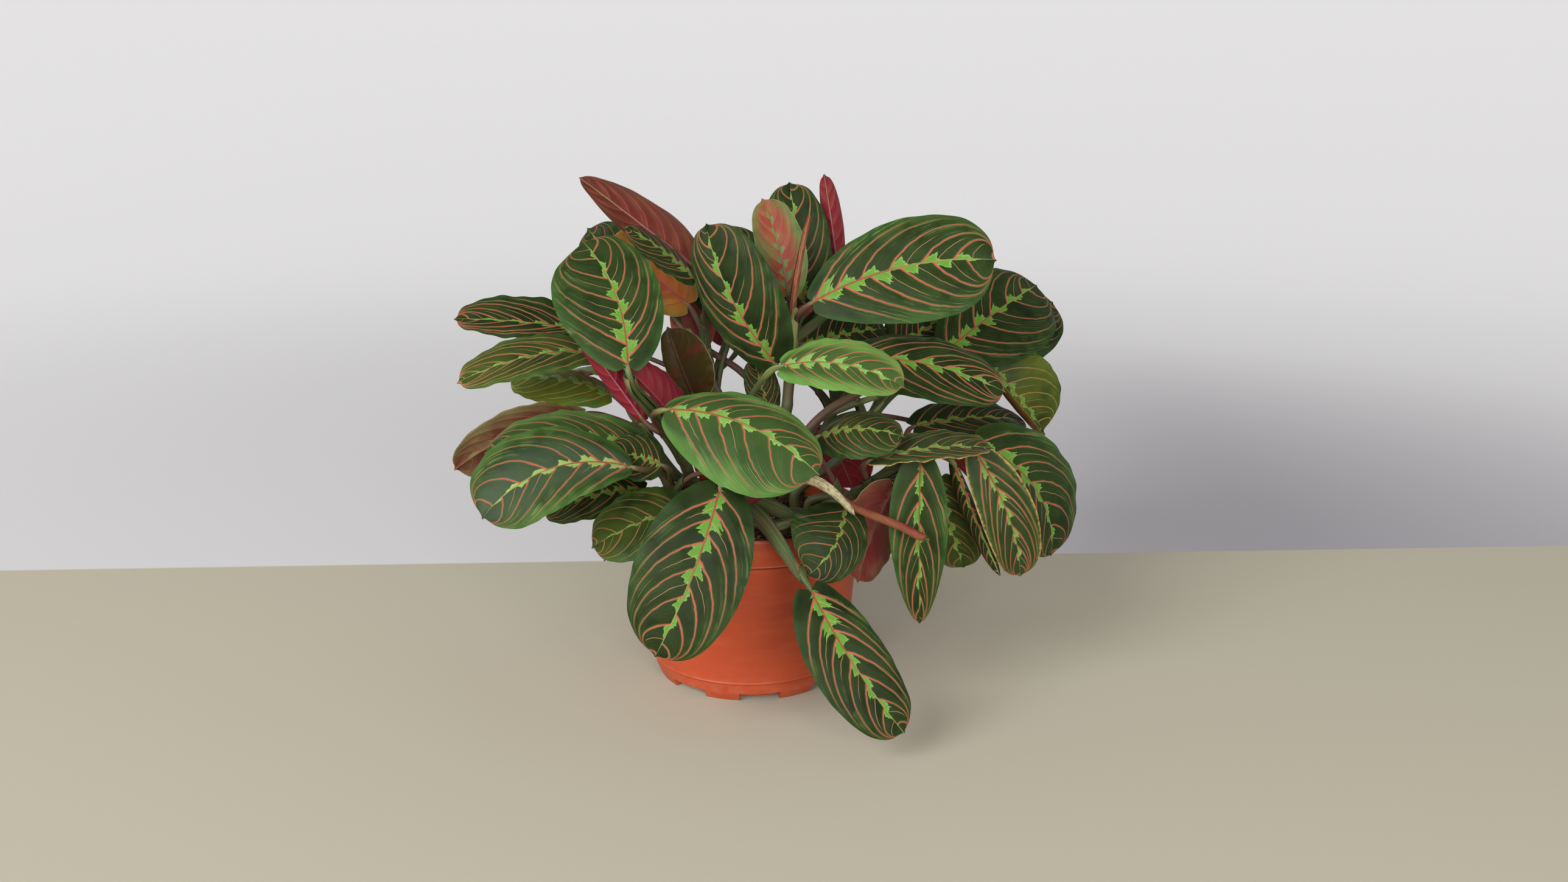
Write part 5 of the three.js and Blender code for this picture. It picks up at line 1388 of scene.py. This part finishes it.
def stage_material(table_colour, wall_colour):
    """The table's tone in front of a line behind the pot, and the wall's pale grey, which glows a
    little, beyond it and all round at a distance. Painted shade darkens the wall and dims its glow
    to the right behind the plant."""
    material, tree, shader = new_material("studio", Roughness=0.75, Specular_IOR_Level=0.2,
                                          Emission_Color=(1, 1, 1, 1))
    x, y, _ = split(node(tree, "TexCoord", output="Object"))
    away = (x * x + y * y).math("SQRT")
    over = (y - x * TABLE_LINE["slope"]).ease(TABLE_LINE["near"], TABLE_LINE["far"])
    beyond = over.math("MAXIMUM", away.ease(1.1, 2.2))
    # painted shade: the wall darker to the right behind the plant, and its glow weaker there
    painted_wall_shade = (x - y * 0.15).ease(0, 0.5) * (1 - away.ease(0.3, 1.7))
    colour = mix(beyond, table_colour, mix(painted_wall_shade * 0.8, wall_colour, tint("wall in shade")))
    glow = (0.17 + away.ease(0.3, 2.8) * 0.22) * (1 - painted_wall_shade * 0.8)
    tree.links.new(colour.output, shader.inputs["Base Color"])
    tree.links.new((beyond * glow + 0.02).output, shader.inputs["Emission Strength"])
    return material


# ---- what a user may change ----------------------------------------------------------------------------
def colour_setting(name, description, code):
    """A colour property with its default."""
    return bpy.props.FloatVectorProperty(
        name=name, description=description, subtype="COLOR", size=4, min=0, max=1, default=tint(code))


def length_setting(name, description, default):
    """A length property in metres."""
    return bpy.props.FloatProperty(
        name=name, description=description, subtype="DISTANCE", unit="LENGTH", min=0, default=default,
        precision=5)


class PrayerPlantLeaves(bpy.types.PropertyGroup):
    """Sizes and colours of the leaves."""
    veins: bpy.props.FloatProperty(
        name="Side veins", description="How densely the side veins stand on each half", min=3,
        max=14, default=6.4)
    thickness: length_setting("Thickness", "Thickness of a blade away from its veins", 0.00045)
    quilting: length_setting("Quilting", "How far a blade swells between its side veins", 0.0007)
    frill: length_setting("Frill", "How far the edge of a blade ripples", 0.0011)
    tip: length_setting("Tip", "Length of the drawn-out point of a blade", 0.0024)
    blotch: colour_setting("Blotch", "Dark ground between the veins", "0f1707")
    margin: colour_setting("Margin", "Green of the outer part of a leaf", "1c3415")
    feather: colour_setting("Feather", "Pale flame along the midrib", "527a2c")
    veins_colour: colour_setting("Veins", "Side veins by the midrib", "9e453d")
    underside: colour_setting("Underside", "Underside of the leaves", "5e0c18")


class PrayerPlantPot(bpy.types.PropertyGroup):
    """Colour and fineness of the pot."""
    colour: colour_setting("Plastic", "Colour of the pot's plastic", "963d24")
    columns: bpy.props.IntProperty(
        name="Columns", description="Facets round the pot", min=32, max=720, default=288)


class PrayerPlantPeat(bpy.types.PropertyGroup):
    """Colour and litter of the soil."""
    colour: colour_setting("Peat", "Colour of the damp peat", "1d140f")
    clods: bpy.props.IntProperty(name="Clods", description="Loose crumbs", min=0, default=700)
    fibres: bpy.props.IntProperty(name="Fibres", description="Curly fibres", min=0, default=1200)


class PrayerPlantStage(bpy.types.PropertyGroup):
    """The floor, the backdrop and the light."""
    table: colour_setting("Table", "Floor in front of the line behind the pot", "a8a28f")
    wall: colour_setting("Backdrop", "Floor and wall beyond that line", "a3a1a2")
    key_power: bpy.props.FloatProperty(
        name="Key light", description="Power of the large soft light", subtype="POWER", unit="POWER",
        min=0, default=118)
    fill_power: bpy.props.FloatProperty(
        name="Fill light", description="Power of the soft light in front", subtype="POWER",
        unit="POWER", min=0, default=61)


# ---- operators ---------------------------------------------------------------------------------------
def shared_group(name, build):
    """A node group that several materials use: the one in the file, or a new one."""
    return bpy.data.node_groups.get(name) or build()


def shared_material(name, build, *given):
    """A material that several operators use: the one in the file, or a new one."""
    return bpy.data.materials.get(name) or build(*given)


def leaf_materials(settings):
    """Materials of the two sides of a leaf."""
    pattern = shared_group("leaf pattern", leaf_pattern)
    return [shared_material("leaf upper side", leaf_upper_material, pattern, settings),
            shared_material("leaf underside", leaf_underside_material, pattern, settings)]


class PRAYERPLANT_OT_leaves(bpy.types.Operator):
    """Make the blade of every large leaf"""
    bl_idname = "prayer_plant.leaves"
    bl_label = "Make leaves"

    def execute(self, context):
        settings = context.scene.prayer_plant_leaves
        materials = leaf_materials(settings)
        for shoot in SHOOTS:
            for k, row in enumerate(shoot["leaves"], 1):
                seed = 17 * sum(map(ord, shoot["name"])) + k
                make_piece(f"blade_{shoot['name']}_{k}", [blade_shell(row, seed, settings)], materials,
                           f"leaf_{shoot['name']}_{k}")
        return {"FINISHED"}


class PRAYERPLANT_OT_shoots(bpy.types.Operator):
    """Make each shoot with its stalks, sheaths and young leaves"""
    bl_idname = "prayer_plant.shoots"
    bl_label = "Make shoots"

    def execute(self, context):
        settings = context.scene.prayer_plant_leaves
        mottled = shared_group("mottle", mottle)
        materials = [stalk_material(mottled), *leaf_materials(settings), sheath_material(mottled)]
        for shoot in SHOOTS:
            make_piece(f"shoot_{shoot['name']}", shoot_shells(shoot, settings), materials,
                       f"stem_{shoot['name']}")
        return {"FINISHED"}


class PRAYERPLANT_OT_pot(bpy.types.Operator):
    """Make the nursery pot"""
    bl_idname = "prayer_plant.pot"
    bl_label = "Make pot"

    def execute(self, context):
        settings = context.scene.prayer_plant_pot
        material = pot_material(shared_group("mottle", mottle), settings)
        pot = make_piece("nursery_pot", [pot_shell(settings.columns)], [material], "pot")
        apart = 360 / POT["notches"]
        turn = np.radians(POT["first_notch"] + apart / 2 + np.arange(POT["notches"]) * apart)
        holes = POT["drain_ring"] * np.stack([np.cos(turn), np.sin(turn)], 1)
        below, above = POT["foot_height"] - 3, POT["foot_height"] + 5
        bore(pot, holes, POT["drain"], POT["drain_sides"], below, above)
        pot.data.set_sharp_from_angle(angle=math.radians(POT["sharp"]))
        return {"FINISHED"}


class PRAYERPLANT_OT_peat(bpy.types.Operator):
    """Make the soil with its crumbs and fibres"""
    bl_idname = "prayer_plant.peat"
    bl_label = "Make peat"

    def execute(self, context):
        settings = context.scene.prayer_plant_peat
        mottled = shared_group("mottle", mottle)
        shells = [soil_shell(), clods_shell(settings.clods), fibres_shell(settings.fibres)]
        make_piece("peat", shells, [peat_material(mottled, settings), fibre_material(mottled)],
                   "soil")
        return {"FINISHED"}


def make_studio(settings):
    """Floor and wall in one: the rings radius * (cos, sin) of a flat floor, a bend of a quarter
    circle and an upright wall, open at the top."""
    turn = np.linspace(0, 2 * np.pi, STUDIO["columns"], endpoint=False)
    angle = np.linspace(0, np.pi / 2, STUDIO["steps"])[1:]
    floor, bend, level = STUDIO["floor"], STUDIO["bend"], [0] * len(STUDIO["floor"])
    radius = np.concatenate([floor, floor[-1] + bend * np.sin(angle), [floor[-1] + bend]])
    height = np.concatenate([level, bend - bend * np.cos(angle), [STUDIO["top"]]])
    rings = np.stack([radius[:, None] * np.cos(turn), radius[:, None] * np.sin(turn),
                      height[:, None] + 0 * turn], -1)
    numbers = np.arange(rings[..., 0].size).reshape(rings.shape[:2])
    mesh = bpy.data.meshes.new("studio")
    mesh.from_pydata(rings.reshape(-1, 3).tolist(), [],
                     grid_quads(numbers, wrap=True)[:, ::-1].tolist() + [numbers[0].tolist()])
    mesh.shade_smooth()
    mesh.materials.append(stage_material(settings.table, settings.wall))
    studio = bpy.data.objects.new("studio", mesh)
    bpy.context.scene.collection.objects.link(studio)


def make_lamp(name, power):
    """A round soft light that points at the plant."""
    light = bpy.data.lights.new(name, "AREA")
    light.energy, light.size, light.shape = power, LAMPS[name]["size"], "DISK"
    lamp = bpy.data.objects.new(name, light)
    lamp.location = LAMPS[name]["place"]
    lamp.rotation_euler = (Vector(LAMPS_AIM) - lamp.location).to_track_quat("-Z", "Y").to_euler()
    bpy.context.scene.collection.objects.link(lamp)


def make_sky():
    """Even light from all round."""
    world = bpy.data.worlds.new("studio light")
    world.use_nodes = True
    background = world.node_tree.nodes["Background"]
    background.inputs["Color"].default_value = SKY["colour"]
    background.inputs["Strength"].default_value = SKY["strength"]
    bpy.context.scene.world = world


def make_camera():
    """The camera, in front of the plant and above its middle, tilted a little down."""
    camera = bpy.data.cameras.new("camera")
    camera.lens, camera.sensor_width = CAMERA["lens"], CAMERA["sensor"]
    viewer = bpy.data.objects.new("camera", camera)
    viewer.location = CAMERA["place"]
    viewer.rotation_euler = (math.radians(CAMERA["tilt"]), 0, 0)
    bpy.context.scene.collection.objects.link(viewer)
    bpy.context.scene.camera = viewer


class PRAYERPLANT_OT_stage(bpy.types.Operator):
    """Make the floor, the backdrop, the lights and the camera"""
    bl_idname = "prayer_plant.stage"
    bl_label = "Make stage"

    def execute(self, context):
        settings = context.scene.prayer_plant_stage
        make_studio(settings)
        make_lamp("key", settings.key_power)
        make_lamp("fill", settings.fill_power)
        make_sky()
        make_camera()
        context.scene.view_settings.view_transform = "Standard"
        return {"FINISHED"}


class PRAYERPLANT_PT_sidebar(bpy.types.Panel):
    """Lists the pieces that can be made and their settings"""
    bl_idname = "PRAYERPLANT_PT_sidebar"
    bl_label = "Prayer Plant"
    bl_space_type = "VIEW_3D"
    bl_region_type = "UI"
    bl_category = "Prayer Plant"

    def draw(self, context):
        for operator, group in STEPS:
            box = self.layout.box()
            box.operator(operator.bl_idname)
            settings = getattr(context.scene, GROUPS[group])
            for key in group.__annotations__:
                box.prop(settings, key)


STEPS = (
    (PRAYERPLANT_OT_stage, PrayerPlantStage),
    (PRAYERPLANT_OT_pot, PrayerPlantPot),
    (PRAYERPLANT_OT_peat, PrayerPlantPeat),
    (PRAYERPLANT_OT_shoots, PrayerPlantLeaves),
    (PRAYERPLANT_OT_leaves, PrayerPlantLeaves),
)
GROUPS = {
    PrayerPlantLeaves: "prayer_plant_leaves",
    PrayerPlantPot: "prayer_plant_pot",
    PrayerPlantPeat: "prayer_plant_peat",
    PrayerPlantStage: "prayer_plant_stage",
}


def register():
    """Register the settings, the operators and the panel."""
    for group, name in GROUPS.items():
        bpy.utils.register_class(group)
        setattr(bpy.types.Scene, name, bpy.props.PointerProperty(type=group))
    for operator, _ in STEPS:
        bpy.utils.register_class(operator)
    bpy.utils.register_class(PRAYERPLANT_PT_sidebar)


def unregister():
    """Take away what register() added, in the opposite order."""
    bpy.utils.unregister_class(PRAYERPLANT_PT_sidebar)
    for operator, _ in reversed(STEPS):
        bpy.utils.unregister_class(operator)
    for group, name in reversed(GROUPS.items()):
        delattr(bpy.types.Scene, name)
        bpy.utils.unregister_class(group)


def main():
    """Make every piece and the stage."""
    register()
    bpy.ops.prayer_plant.stage()
    bpy.ops.prayer_plant.pot()
    bpy.ops.prayer_plant.peat()
    bpy.ops.prayer_plant.shoots()
    bpy.ops.prayer_plant.leaves()


if __name__ == "__main__":
    main()
